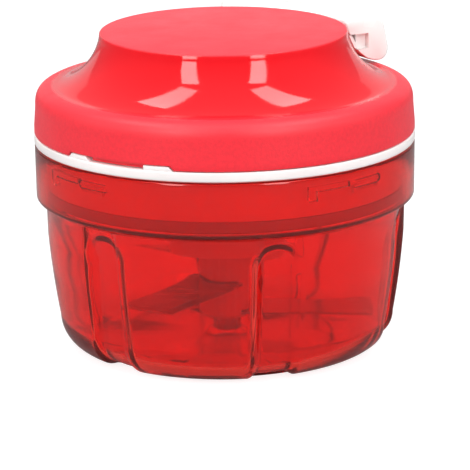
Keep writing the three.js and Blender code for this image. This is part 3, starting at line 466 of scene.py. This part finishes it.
def draw_flute(vert, azimuth, floor, reach, softness):
    """Draws a vertex of the bowl's wall or foot back to a flute's floor, softly at the flute's sides"""
    along, across = seen_along(vert.co, azimuth)
    radius, height = math.hypot(along, across), vert.co.z / MM
    if height > 52 or radius < 41:
        return
    on_wall = height > WALL_FOOT
    if on_wall:
        outside = radius > WALL_BETWEEN + (height - WALL_FOOT) * 0.1
        depth = radius - floor - FLUTE_DRAFT * (height - WALL_FOOT)
    else:
        from_corner = math.hypot(max(radius - CORNER_CENTRE, 0), WALL_FOOT - height)
        outside = from_corner > CORNER_BETWEEN
        depth = from_corner - CORNER_FLOOR
    if not outside:
        depth += FLUTE_WALL
        reach += FLUTE_INSIDE_REACH
    share = smoothstep((reach - math.hypot(across, max(height - FLUTE_ARCH, 0))) / softness)
    if height < 1 or (not outside and height < 3.9 and radius < CORNER_CENTRE):
        share *= smoothstep((radius - 44.4) / 0.8)
    if share <= 0 or depth <= 0:
        return
    if on_wall:
        scale_radius(vert, 1 - depth * share / radius)
    else:
        pull = depth * share / from_corner
        vert.co.z += pull * (WALL_FOOT - height) * MM
        scale_radius(vert, 1 - pull * max(radius - CORNER_CENTRE, 0) / radius)


def cut_catches(bm, catch_radius, pocket_depth):
    """Four catches inside the band, each with a stop at one end, and four pockets for the lid's lugs"""
    cuts = [end + side * 0.1 for end in (CATCH_START, STOP_END, CATCH_END) for side in (-1, 1)]
    cuts += [POCKET_AZIMUTH + side * offset for side in (-1, 1) for offset in (4.6, 5, 5.4, 5.8, 6.2)]
    inner = []
    for face in bm.faces:
        middle = face.calc_center_median() / MM
        if middle.z > 60 and math.hypot(middle.x, middle.y) < 60.9:
            inner.append(face)
    geometry = inner + list(dict.fromkeys(edge for face in inner for edge in face.edges))
    geometry += list(dict.fromkeys(vert for face in inner for vert in face.verts))
    for cut in cuts:
        for azimuth in (cut, cut + 90):
            geometry = cut_at(bm, geometry, azimuth)
    for vert in bm.verts:
        radius, height = radius_and_height(vert)
        if not 60.2 < radius < 61 or height < 61:
            continue
        azimuth = azimuth_of(vert) % 90
        foot = STOP_FOOT if azimuth < STOP_END - CATCH_SLACK else CATCH_FOOT
        in_span = CATCH_START + CATCH_SLACK < azimuth < CATCH_END - CATCH_SLACK
        on_catch = in_span and foot < height < CATCH_TOP
        along = max(abs(azimuth - POCKET_AZIMUTH) * BAND_DEGREE - POCKET_HALF, 0)
        from_pocket = math.hypot(along, height - POCKET_HEIGHT)
        pocket = pocket_depth * smoothstep((POCKET_ROUND - from_pocket) / 0.4)
        scale_radius(vert, (catch_radius if on_catch else radius + pocket) / radius)


def add_nibs(bm, nib_height):
    """Standing nibs under the foot, drawn down from it"""
    for vert in bm.verts:
        radius, height = radius_and_height(vert)
        if height < 0.6 and 37.6 < radius < 44:
            spread = abs(around(azimuth_of(vert), NIB_PITCH / 2, NIB_PITCH))
            share = smoothstep((4.1 - spread) / 1.2) * smoothstep((3 - abs(radius - NIB_CIRCLE)) / 0.8)
            vert.co.z -= nib_height * share


def make_bowl(sizes, finishes):
    """The clear bowl: one flute's sector is spun and copied round, and then shaped"""
    bm = bmesh.new()
    wire(bm, bowl_profile(), closed=False)
    refine(bm, 0.5, 39, 48.8, 50)
    refine(bm, 0.3, 49.7, 52.15, 59.4)
    refine(bm, 2.2, WALL_FOOT, 39.1, 50)
    refine(bm, 3, 53, 69, 60)
    shape_bowl_body(bm, sizes.wall_swell)
    plain_span, flute_span = 40, 20
    reached = turn(bm, 34, plain_span)
    turn(bm, 50, flute_span, [item for item in reached if not isinstance(item, bmesh.types.BMFace)])
    sector = bm.verts[:] + bm.edges[:] + bm.faces[:]
    for n in range(1, 360 // FLUTE_PITCH):
        copy = bmesh.ops.duplicate(bm, geom=sector)["geom"]
        rotate(bm, [item for item in copy if isinstance(item, bmesh.types.BMVert)], FLUTE_PITCH * n)
    bmesh.ops.remove_doubles(bm, verts=bm.verts[:], dist=SAME_PLACE)
    rotate(bm, bm.verts[:], FLUTE_AZIMUTH - plain_span - flute_span / 2)
    floor, reach, softness = (
        length / MM for length in (sizes.flute_floor, sizes.flute_reach, sizes.flute_softness))
    for vert in bm.verts:
        offset = around(azimuth_of(vert), FLUTE_AZIMUTH, FLUTE_PITCH)
        if abs(offset) < 12.5:
            draw_flute(vert, azimuth_of(vert) - offset, floor, reach, softness)
    cut_catches(bm, sizes.catch_radius / MM, sizes.pocket_depth / MM)
    add_nibs(bm, sizes.nib_height)
    add_piece(bm, "clear_bowl", "bowl", "clear_red", finishes["clear_red"], "bowl", sharp=42)


# Lid

RING_TOP = 73.2
TAB_ENDS = (9.6, 18.7)
TAB_FLATS = (13.5, 15)


def make_lid(sizes, finishes):
    """The white lid: ring, skirt, dish, boss and tower in one profile, with its lugs, ribs and tabs"""
    bm = turned([
        (15.8, 36, 0.4), (18.2, 36, 0.4), (18.6, 53.2, 0.8), (57.7, 53.2, 0.2), (57.7, 54.2), (57, 54.2),
        (57, 56.4), (58.8, 56.4, 0.05), (58.8, 70, 0.3), (63.1, 70, 0.6), (63.1, RING_TOP, 0.5),
        (60, RING_TOP, 0.2), (60, 75.4, 0.3), (58.2, 75.4, 0.3), (58.2, 73.2), (56.8, 68), (56.8, 59.6),
        (55, 57.6), (55, 55.4, 0.8), (12.2, 55.4, 0.8), (12.2, 75.6, 0.3), (9.6, 75.6, 0.3),
        (9.6, 53.2, 0.3), (16.2, 53.2, 0.8),
    ], 240)
    for n in range(4):
        swept(bm, [(58.5, 61.6), (60.1, 61.6), (60.1, 64.1), (58.5, 64.1)], 46 + 90 * n, 7.8, 8, 0.2)
        rib = bmesh.ops.create_cube(bm, size=MM)["verts"]
        bmesh.ops.scale(bm, verts=rib, vec=(14.1, 2, 14))
        bmesh.ops.translate(bm, verts=rib, vec=(18.95 * MM, 0, 62.2 * MM))
        rotate(bm, rib, 45 + 90 * n)
    for side in (-1, 1):
        add_tab(bm, side, sizes.tab_height / MM)
    add_piece(bm, "white_lid", "lid", "white_plastic", finishes["white"], "inner_lid")


def add_tab(bm, side, tab_height):
    """A raised tab on the ring beside the cover's slot, with slanted ends"""
    low, high = RING_TOP - 0.3, RING_TOP + tab_height
    (start, end), (inner_flat, outer_flat) = TAB_ENDS, TAB_FLATS
    corners = [(60.4, low), (62.85, low), (62.85, high), (60.4, high)]
    tab = swept(bm, corners, TAB_AZIMUTH + side * (start + end) / 2, end - start, 12, 0.3)
    for vert in tab:
        offset = around(azimuth_of(vert), TAB_AZIMUTH) * side
        raised = min(max((vert.co.z / MM - RING_TOP) / tab_height, 0), 1)
        outer = max(offset - outer_flat, 0) / (end - outer_flat)
        inner = max(inner_flat - offset, 0) / (inner_flat - start)
        rotate(bm, [vert], side * raised * ((1.5 * inner if side < 0 else 0) - 1.3 * outer))


def make_seal(finishes):
    """The seal under the lid's skirt"""
    bm = turned([
        (57.25, 54.5, 0.1), (58, 54.5), (58, 52.5, 0.2), (58.6, 52.5, 0.25), (59.1, 53, 0.2),
        (59.1, 56.3, 0.08), (57.25, 56.3, 0.1),
    ], 192)
    add_piece(bm, "lid_seal_ring", "lid", "silicone", finishes["silicone"], "lid_seal")


# Cover

SKIRT_FOOT = 73.5
SKIRT_LINE = 75.6
NOTCH_ENDS = (9.5, 19.1)
CORD_HEIGHT = 94.5


def cover_profile():
    """The cover's section, from the underside of its dome round the skirt to the dome's top"""
    shoulder = bezier((62.5, 82), (62.5, 85.47), (62.33, 88.87), (55.43, 88.87), 20)
    flank = bezier((55.43, 88.87), (52.25, 88.87), (42.33, 94.35), (40.84, 105.37), 28)[:-1]
    inner_flank = bezier((38.6, 103.9), (40.6, 92.6), (50.4, 86.7), (54.6, 86.67), 14)
    inner_shoulder = bezier((54.6, 86.67), (59.9, 86.67), (60.3, 84.3), (60.3, 82), 8)
    return [
        (0, 103.87), (38.6, 103.9, 0.6), *inner_flank, *inner_shoulder, (60.8, SKIRT_LINE),
        (60.8, SKIRT_FOOT, 0.2), (61.3, SKIRT_FOOT), (61.4, SKIRT_FOOT), (63, SKIRT_FOOT, 0.25),
        (63, SKIRT_LINE), (62.5, 82), *shoulder, *flank, (40.84, 106.07, 0.7), (0, 106.07),
    ]


def notch_skirt(bm, notch_height, slot_height):
    """Raises the skirt's lower edge over the ring's tabs and over the slot between them"""
    start, end = NOTCH_ENDS
    for offset in (start - 0.05, start + 0.1, 17.75, 18.85, end):
        for side in (-1, 1):
            cut_at(bm, bm.verts[:] + bm.edges[:] + bm.faces[:], TAB_AZIMUTH + side * offset)
    for vert in bm.verts:
        offset = abs(around(azimuth_of(vert), TAB_AZIMUTH))
        radius, height = radius_and_height(vert)
        if height > SKIRT_LINE - 0.2 or offset > end - 0.1:
            continue
        if offset < start:
            raised = slot_height if radius > 61.35 else 0
        else:
            raised = notch_height * min((end - offset) / 1.3, 1)
        vert.co.z += raised * (SKIRT_LINE - height) / (SKIRT_LINE - SKIRT_FOOT)


def open_cord_hole(bm, hole_radius):
    """Opens the flank behind the cord's bush, whose flange covers the hole's edge"""
    faces = []
    for face in bm.faces:
        middle = face.calc_center_median()
        along, across = seen_along(middle, PULL_AZIMUTH)
        if along > 0 and math.hypot(across, middle.z / MM - CORD_HEIGHT) < hole_radius:
            faces.append(face)
    if not faces:
        raise RuntimeError("the cord's hole found no faces in the cover")
    rims = [
        edge for edge in dict.fromkeys(edge for face in faces for edge in face.edges)
        if sum(near in faces for near in edge.link_faces) == 1
    ]
    bmesh.ops.delete(bm, geom=faces, context="FACES")
    bmesh.ops.bridge_loops(bm, edges=rims)


def make_cover(sizes, finishes):
    """The red cover, with its notches, the cord's hole and four posts for the screws"""
    bm = turned(cover_profile(), 240, closed=False)
    bmesh.ops.remove_doubles(bm, verts=bm.verts[:], dist=SAME_PLACE)
    notch_skirt(bm, sizes.notch_height, sizes.slot_height)
    open_cord_hole(bm, sizes.cord_hole_radius / MM)
    for n in range(4):
        post = bmesh.ops.create_cone(
            bm, cap_ends=True, segments=24, radius1=3.6 * MM, radius2=3.6 * MM, depth=32 * MM,
        )["verts"]
        bmesh.ops.translate(bm, verts=post, vec=(47.5 * MM, 0, 71.7 * MM))
        rotate(bm, post, 45 + 90 * n)
    add_piece(bm, "red_cover", "lid", "red_plastic", finishes["cover"], "cover")


# Handle

GRIP_OUTER = 62.25
GRIP_WIDTH = 16.65
GRIP_FOOT = 89.65
GRIP_HEIGHT = 15.55
GRIP_HALF_SPAN = 32
GRIP_STEP = 0.8

# The grip's end starts here, runs on straight over three steps and is rounded over four
END_START = 26.4
END_STRAIGHT = 4.2
END_ROUND = 1.9
STRAIGHT_STEPS = 3
ROUND_STEPS = 4


def grip_profile():
    """The grip's section with the channel for the cord cut into its inner face"""
    shares = [
        (0.79, 0.32), (0.6, 0.15), (0.46, 0.05), (0.22, 0), (0.06, 0.07), (0, 0.25), (0.04, 0.5),
        (0.11, 0.83), (0.2, 0.96), (0.32, 1), (0.84, 1), (0.95, 0.965), (1, 0.88), (0.955, 0.7),
        (0.88, 0.52),
    ]
    points = [(GRIP_OUTER - GRIP_WIDTH * inwards, GRIP_FOOT + GRIP_HEIGHT * up) for inwards, up in shares]
    loop = smooth_loop(points, 4)
    outside = [point for n, point in enumerate(loop) if 1 < n < 44 or n >= 44 and point[1] > 99.9]
    return outside + [(47, 99.6, 0.3), (54.15, 99.6, 0.3), (54.15, 94.4, 0.3), (49.75, 94.4, 0.3)]


def round_grip_end(vert, end_round):
    """Moves a vertex of the grip's end to draw the section in towards a rounded edge"""
    azimuth = azimuth_of(vert)
    radius, height = radius_and_height(vert)
    if abs(azimuth) < END_START + 0.1:
        return
    step = round((abs(azimuth) - END_START) / GRIP_STEP)
    share = math.sin(max(step - STRAIGHT_STEPS, 0) / ROUND_STEPS * math.pi / 2)
    straight = END_STRAIGHT * min(step, STRAIGHT_STEPS) / STRAIGHT_STEPS
    side = math.radians(math.copysign(END_START + straight + END_ROUND * share, azimuth))
    drawn = end_round * (1 - math.sqrt(1 - share * share))
    inwards, upwards = (GRIP_OUTER - radius) / GRIP_WIDTH, (height - GRIP_FOOT) / GRIP_HEIGHT
    in_channel = 94.2 < height < 99.8 and radius < 54.3
    if not in_channel or radius < 51:
        radius = GRIP_OUTER - drawn - (GRIP_WIDTH - drawn) * inwards + drawn * inwards / 2
    if not in_channel:
        height = GRIP_FOOT + drawn / 2 + (GRIP_HEIGHT - drawn) * upwards
    vert.co = (radius * math.cos(side) * MM, radius * math.sin(side) * MM, height * MM)


def make_grip(sizes, finishes):
    """The white grip with its rounded ends, and a plug that closes each end of its channel"""
    bm = bmesh.new()
    wire(bm, grip_profile())
    turn(bm, round(2 * GRIP_HALF_SPAN / GRIP_STEP), 2 * GRIP_HALF_SPAN)
    bmesh.ops.holes_fill(bm, edges=[edge for edge in bm.edges if edge.is_boundary], sides=0)
    rotate(bm, bm.verts[:], -GRIP_HALF_SPAN)
    for vert in bm.verts:
        round_grip_end(vert, sizes.grip_end_round / MM)
    for side in (-1, 1):
        swept(bm, [(50.2, 94), (54.6, 94), (54.6, 100), (50.2, 100)], side * 29.2, 2.2, 3)
    rotate(bm, bm.verts[:], PULL_AZIMUTH)
    add_piece(bm, "white_grip", "handle", "handle_plastic", finishes["handle"], "handle_grip")


# Stage, in metres

CAMERA_PLACE = (0, -1.0361, 0.31625)
CAMERA_TILT = 13.369
CAMERA_ROLL = -0.717
AIM_RIGHT = 0.002804
AIM_DOWN = 0.030736
LENS = 245.72

# Lamp panels on the right, mirrored to the left: name, two ends, width, brightness, seen in gloss
LAMP_PANELS = (
    ("roof_panel", (0.48, 0.42, 1.2), (0.48, -0.55, 1.2), 0.27, 6, True),
    ("front_panel", (0.55, -0.775, 1.2), (0.68, -1.15, 0.28), 0.3, 7.5, True),
    ("side_fill", (1.1, -0.9, 0.5), (1.1, 0.3, 0.5), 0.7, 1.8, False),
)
LAMP_AIM = (0, 0, 0.08)


def aim_camera():
    """The camera, at the picture's viewing angle"""
    tilt = math.radians(CAMERA_TILT)
    away = Vector((0, math.cos(tilt), -math.sin(tilt)))
    up = Vector((0, math.sin(tilt), math.cos(tilt)))
    aim = away + Vector((AIM_RIGHT, 0, 0)) - up * AIM_DOWN
    camera = bpy.data.objects.new("camera", bpy.data.cameras.new("camera"))
    bpy.context.scene.collection.objects.link(camera)
    roll = Matrix.Rotation(math.radians(CAMERA_ROLL), 3, "Z")
    turn_to = aim.to_track_quat("-Z", "Y").to_matrix() @ roll
    camera.matrix_world = Matrix.Translation(CAMERA_PLACE) @ turn_to.to_4x4()
    camera.data.sensor_width = 36
    camera.data.lens = LENS
    camera.data.clip_start = 0.05
    bpy.context.scene.camera = camera


def add_lamp_panel(name, start, end, width, brightness, mirrored):
    """A long lit panel between two points, turned towards the object"""
    start, end = Vector(start), Vector(end)
    middle = (start + end) / 2
    along = (end - start).normalized()
    outward = middle - Vector(LAMP_AIM)
    outward = (outward - along * outward.dot(along)).normalized()
    light = bpy.data.lights.new(name, "AREA")
    light.shape = "RECTANGLE"
    light.size, light.size_y = width, (end - start).length
    light.energy = brightness * math.pi * light.size * light.size_y
    lamp = bpy.data.objects.new(name, light)
    lamp.visible_glossy = mirrored
    bpy.context.scene.collection.objects.link(lamp)
    axes = Matrix((along.cross(outward), along, outward)).transposed()
    lamp.matrix_world = Matrix.Translation(middle) @ axes.to_4x4()


def add_board(name, half_size, place, finish):
    """A flat board of the stage"""
    bm = bmesh.new()
    bmesh.ops.create_grid(bm, x_segments=1, y_segments=1, size=1)
    bmesh.ops.scale(bm, verts=bm.verts, vec=(*half_size, 1))
    bmesh.ops.transform(bm, matrix=place, verts=bm.verts)
    mesh = bpy.data.meshes.new(name)
    bm.to_mesh(mesh)
    bm.free()
    mesh.materials.append(finish)
    board = bpy.data.objects.new(name, mesh)
    bpy.context.scene.collection.objects.link(board)


def light_world():
    """A studio room that grows brighter towards its ceiling, and is brighter through clear plastic"""
    world = bpy.data.worlds.new("studio")
    world.use_nodes = True
    nodes, links = world.node_tree.nodes, world.node_tree.links
    background = nodes["Background"]
    background.inputs["Color"].default_value = (1, 1, 1, 1)
    split = nodes.new("ShaderNodeSeparateXYZ")
    ramp = nodes.new("ShaderNodeMapRange")
    for socket, value in (("From Min", 0.1), ("From Max", 1), ("To Min", 0.17), ("To Max", 0.5)):
        ramp.inputs[socket].default_value = value
    strength = nodes.new("ShaderNodeMath")
    strength.operation = "MULTIPLY_ADD"
    strength.inputs[1].default_value = 0.25
    links.new(nodes.new("ShaderNodeTexCoord").outputs["Generated"], split.inputs["Vector"])
    links.new(split.outputs["Z"], ramp.inputs["Value"])
    links.new(nodes.new("ShaderNodeLightPath").outputs["Is Transmission Ray"], strength.inputs[0])
    links.new(ramp.outputs["Result"], strength.inputs[2])
    links.new(strength.outputs["Value"], background.inputs["Strength"])
    bpy.context.scene.world = world


def make_stage(colours, sizes):
    """The floor, a backdrop for reflections, the room's light, the lamp panels and the camera"""
    bpy.context.scene.view_settings.view_transform = "Standard"
    aim_camera()
    add_board("floor", (4, 4), Matrix.Identity(4), stage_finish("white_floor", colours.floor, 0.05))
    upright = Matrix.Translation((0, 1.8, 0.44)) @ Matrix.Rotation(math.pi / 2, 4, "X")
    add_board("backdrop", (1.2, 0.55), upright, stage_finish("white_backdrop", colours.floor, 0.45))
    light_world()
    for side, word in ((-1, "left"), (1, "right")):
        for name, start, end, width, brightness, mirrored in LAMP_PANELS:
            start, end = (side * start[0], *start[1:]), (side * end[0], *end[1:])
            add_lamp_panel(f"{word}_{name}", start, end, width, brightness * sizes.lamp_strength, mirrored)


# Add-on

class ChopperSizes(bpy.types.PropertyGroup):
    """Sizes of the chopper's shaped details, and the strength of its lamps"""
    wall_swell: FloatProperty(
        name="Wall swell", description="How far the bowl's wall swells out halfway up",
        default=0.0007, min=0, max=0.001, precision=5, unit="LENGTH",
    )
    flute_floor: FloatProperty(
        name="Flute floor", description="Radius of the flutes' floors at the foot of the bowl's wall",
        default=0.05385, min=0.052, max=0.0555, precision=5, unit="LENGTH",
    )
    flute_reach: FloatProperty(
        name="Flute reach", description="Half the width of a flute, with its soft side",
        default=0.008, min=0.005, max=0.01, precision=5, unit="LENGTH",
    )
    flute_softness: FloatProperty(
        name="Flute softness", description="Width of a flute's soft side",
        default=0.0032, min=0.001, max=0.005, precision=5, unit="LENGTH",
    )
    catch_radius: FloatProperty(
        name="Catch radius", description="Radius of the inner faces of the catches in the band",
        default=0.0594, min=0.0592, max=0.0605, precision=5, unit="LENGTH",
    )
    pocket_depth: FloatProperty(
        name="Pocket depth", description="Depth of the pockets for the lid's lugs",
        default=0.0005, min=0, max=0.001, precision=5, unit="LENGTH",
    )
    nib_height: FloatProperty(
        name="Nib height", description="Height of the standing nibs under the bowl's foot",
        default=0.0005, min=0, max=0.0005, precision=5, unit="LENGTH",
    )
    tab_height: FloatProperty(
        name="Tab height", description="Height of the two tabs on the lid's ring",
        default=0.0015, min=0.0008, max=0.0015, precision=5, unit="LENGTH",
    )
    notch_height: FloatProperty(
        name="Notch height", description="How far the cover's edge rises over a tab",
        default=0.0015, min=0, max=0.0018, precision=5, unit="LENGTH",
    )
    slot_height: FloatProperty(
        name="Slot height", description="Height of the slot in the cover's edge between the tabs",
        default=0.0014, min=0, max=0.0018, precision=5, unit="LENGTH",
    )
    cord_hole_radius: FloatProperty(
        name="Cord hole", description="Radius of the cover's hole for the cord",
        default=0.0023, min=0.002, max=0.003, precision=5, unit="LENGTH",
    )
    grip_end_round: FloatProperty(
        name="Grip end rounding", description="Radius of the rounding at the grip's ends",
        default=0.0015, min=0.0005, max=0.003, precision=5, unit="LENGTH",
    )
    lamp_strength: FloatProperty(
        name="Lamp strength", description="Brightness of all lamp panels together",
        default=1, min=0, max=3, subtype="FACTOR",
    )


class ChopperColours(bpy.types.PropertyGroup):
    """Colours of the chopper's plastics and metal"""
    clear_red: FloatVectorProperty(
        name="Clear red", description="Tint of the bowl's clear plastic", subtype="COLOR",
        default=(0.99, 0.045, 0.03), min=0, max=1,
    )
    satin_red: FloatVectorProperty(
        name="Satin red", description="Colour of the cover's grained dome and skirt", subtype="COLOR",
        default=(0.88, 0.022, 0.038), min=0, max=1,
    )
    gloss_red: FloatVectorProperty(
        name="Gloss red", description="Colour of the cover's polished flank", subtype="COLOR",
        default=(0.76, 0.006, 0.012), min=0, max=1,
    )
    white: FloatVectorProperty(
        name="White", description="Colour of the lid's ring and dish", subtype="COLOR",
        default=(0.93, 0.87, 0.86), min=0, max=1,
    )
    handle: FloatVectorProperty(
        name="Handle white", description="Colour of the grip", subtype="COLOR",
        default=(0.95, 0.95, 0.93), min=0, max=1,
    )
    hub: FloatVectorProperty(
        name="Spindle white", description="Colour of the spindle and its socket", subtype="COLOR",
        default=(0.80, 0.78, 0.76), min=0, max=1,
    )
    nylon: FloatVectorProperty(
        name="Nylon", description="Colour of the reel, shaft, pawls and bushes", subtype="COLOR",
        default=(0.62, 0.60, 0.55), min=0, max=1,
    )
    seal: FloatVectorProperty(
        name="Seal", description="Colour of the lid's seal", subtype="COLOR",
        default=(0.45, 0.43, 0.42), min=0, max=1,
    )
    steel: FloatVectorProperty(
        name="Steel", description="Colour of the blades and screws", subtype="COLOR",
        default=(0.52, 0.52, 0.54), min=0, max=1,
    )
    spring: FloatVectorProperty(
        name="Spring steel", description="Colour of the recoil spring", subtype="COLOR",
        default=(0.35, 0.38, 0.45), min=0, max=1,
    )
    floor: FloatVectorProperty(
        name="Floor", description="Colour of the floor", subtype="COLOR",
        default=(0.28, 0.28, 0.28), min=0, max=1,
    )


finish_store = {}


def current_finishes(context):
    """The finishes in the panel's colours, made again when a colour has changed"""
    colours = context.scene.chopper_colours
    palette = [tuple(getattr(colours, name)) for name in ChopperColours.__annotations__]
    if finish_store.get("palette") != palette:
        finish_store.update(palette=palette, finishes=make_finishes(colours))
    return finish_store["finishes"]


class CHOPPER_OT_stage(bpy.types.Operator):
    """Make the floor, the studio lamps and the camera"""
    bl_idname = "chopper.stage"
    bl_label = "Stage"
    bl_options = {"REGISTER", "UNDO"}

    def execute(self, context):
        make_stage(context.scene.chopper_colours, context.scene.chopper_sizes)
        return {"FINISHED"}


class CHOPPER_OT_bowl(bpy.types.Operator):
    """Make the clear bowl with its flutes, catches, boss and standing nibs"""
    bl_idname = "chopper.bowl"
    bl_label = "Clear bowl"
    bl_options = {"REGISTER", "UNDO"}

    def execute(self, context):
        make_bowl(context.scene.chopper_sizes, current_finishes(context))
        return {"FINISHED"}


class CHOPPER_OT_lid(bpy.types.Operator):
    """Make the white lid with its ring, tabs and lugs"""
    bl_idname = "chopper.lid"
    bl_label = "White lid"
    bl_options = {"REGISTER", "UNDO"}

    def execute(self, context):
        make_lid(context.scene.chopper_sizes, current_finishes(context))
        return {"FINISHED"}


class CHOPPER_OT_seal(bpy.types.Operator):
    """Make the lid's soft seal"""
    bl_idname = "chopper.seal"
    bl_label = "Lid seal"
    bl_options = {"REGISTER", "UNDO"}

    def execute(self, context):
        make_seal(current_finishes(context))
        return {"FINISHED"}


class CHOPPER_OT_cover(bpy.types.Operator):
    """Make the red cover with its notches and the cord's hole"""
    bl_idname = "chopper.cover"
    bl_label = "Red cover"
    bl_options = {"REGISTER", "UNDO"}

    def execute(self, context):
        make_cover(context.scene.chopper_sizes, current_finishes(context))
        return {"FINISHED"}


class CHOPPER_OT_handle(bpy.types.Operator):
    """Make the white grip, and finish the insert behind it"""
    bl_idname = "chopper.handle"
    bl_label = "Handle grip"
    bl_options = {"REGISTER", "UNDO"}

    def execute(self, context):
        finishes = current_finishes(context)
        make_grip(context.scene.chopper_sizes, finishes)
        dress_nodes(finishes["handle"], "handle_insert")
        return {"FINISHED"}


class CHOPPER_OT_blade_set(bpy.types.Operator):
    """Give the blades, the spindle and its pin and washer their finishes"""
    bl_idname = "chopper.blade_set"
    bl_label = "Blade set"
    bl_options = {"REGISTER", "UNDO"}

    def execute(self, context):
        finishes = current_finishes(context)
        dress_nodes(finishes["blade"], "blade_low", "blade_middle", "blade_top")
        dress_nodes(finishes["hub"], "blade_hub")
        dress_nodes(finishes["nylon"], "pivot_bush")
        dress_nodes(finishes["steel"], "pivot_pin")
        return {"FINISHED"}


class CHOPPER_OT_drive(bpy.types.Operator):
    """Give the reel, the spring, the clutch and the shaft their finishes"""
    bl_idname = "chopper.drive"
    bl_label = "Drive"
    bl_options = {"REGISTER", "UNDO"}

    def execute(self, context):
        finishes = current_finishes(context)
        dress_nodes(
            finishes["nylon"], "cord_guide", "cord_reel", "spring_cap", "drive_shaft", "pawl_1", "pawl_2",
            "upper_bearing", "lower_bearing", "reel_washer",
        )
        dress_nodes(finishes["hub"], "drive_socket")
        dress_nodes(finishes["steel"], "reel_clip", "spring_post")
        dress_nodes(finishes["spring"], "recoil_spring")
        return {"FINISHED"}


class CHOPPER_OT_screws(bpy.types.Operator):
    """Give the screws their steel"""
    bl_idname = "chopper.screws"
    bl_label = "Screws"
    bl_options = {"REGISTER", "UNDO"}

    def execute(self, context):
        dress_nodes(
            current_finishes(context)["steel"], "cover_screw_1", "cover_screw_2", "cover_screw_3",
            "cover_screw_4", "socket_screw", "handle_screw_1", "handle_screw_2",
        )
        return {"FINISHED"}


OPERATORS = (
    CHOPPER_OT_stage, CHOPPER_OT_bowl, CHOPPER_OT_lid, CHOPPER_OT_seal, CHOPPER_OT_cover,
    CHOPPER_OT_handle, CHOPPER_OT_blade_set, CHOPPER_OT_drive, CHOPPER_OT_screws,
)


class CHOPPER_PT_panel(bpy.types.Panel):
    """The chopper's pieces, sizes and colours"""
    bl_idname = "CHOPPER_PT_panel"
    bl_label = "Vegetable chopper"
    bl_space_type = "VIEW_3D"
    bl_region_type = "UI"
    bl_category = "Chopper"

    def draw(self, context):
        for operator in OPERATORS:
            self.layout.operator(operator.bl_idname)
        for group in (context.scene.chopper_sizes, context.scene.chopper_colours):
            box = self.layout.box()
            for name in type(group).__annotations__:
                box.prop(group, name)


CLASSES = (ChopperSizes, ChopperColours, *OPERATORS, CHOPPER_PT_panel)


def register():
    for item in CLASSES:
        bpy.utils.register_class(item)
    bpy.types.Scene.chopper_sizes = PointerProperty(type=ChopperSizes)
    bpy.types.Scene.chopper_colours = PointerProperty(type=ChopperColours)


def unregister():
    del bpy.types.Scene.chopper_colours
    del bpy.types.Scene.chopper_sizes
    for item in reversed(CLASSES):
        bpy.utils.unregister_class(item)


def main():
    """Makes every piece in order"""
    register()
    bpy.ops.chopper.stage()
    bpy.ops.chopper.bowl()
    bpy.ops.chopper.lid()
    bpy.ops.chopper.seal()
    bpy.ops.chopper.cover()
    bpy.ops.chopper.handle()
    bpy.ops.chopper.blade_set()
    bpy.ops.chopper.drive()
    bpy.ops.chopper.screws()


if __name__ == "__main__":
    main()
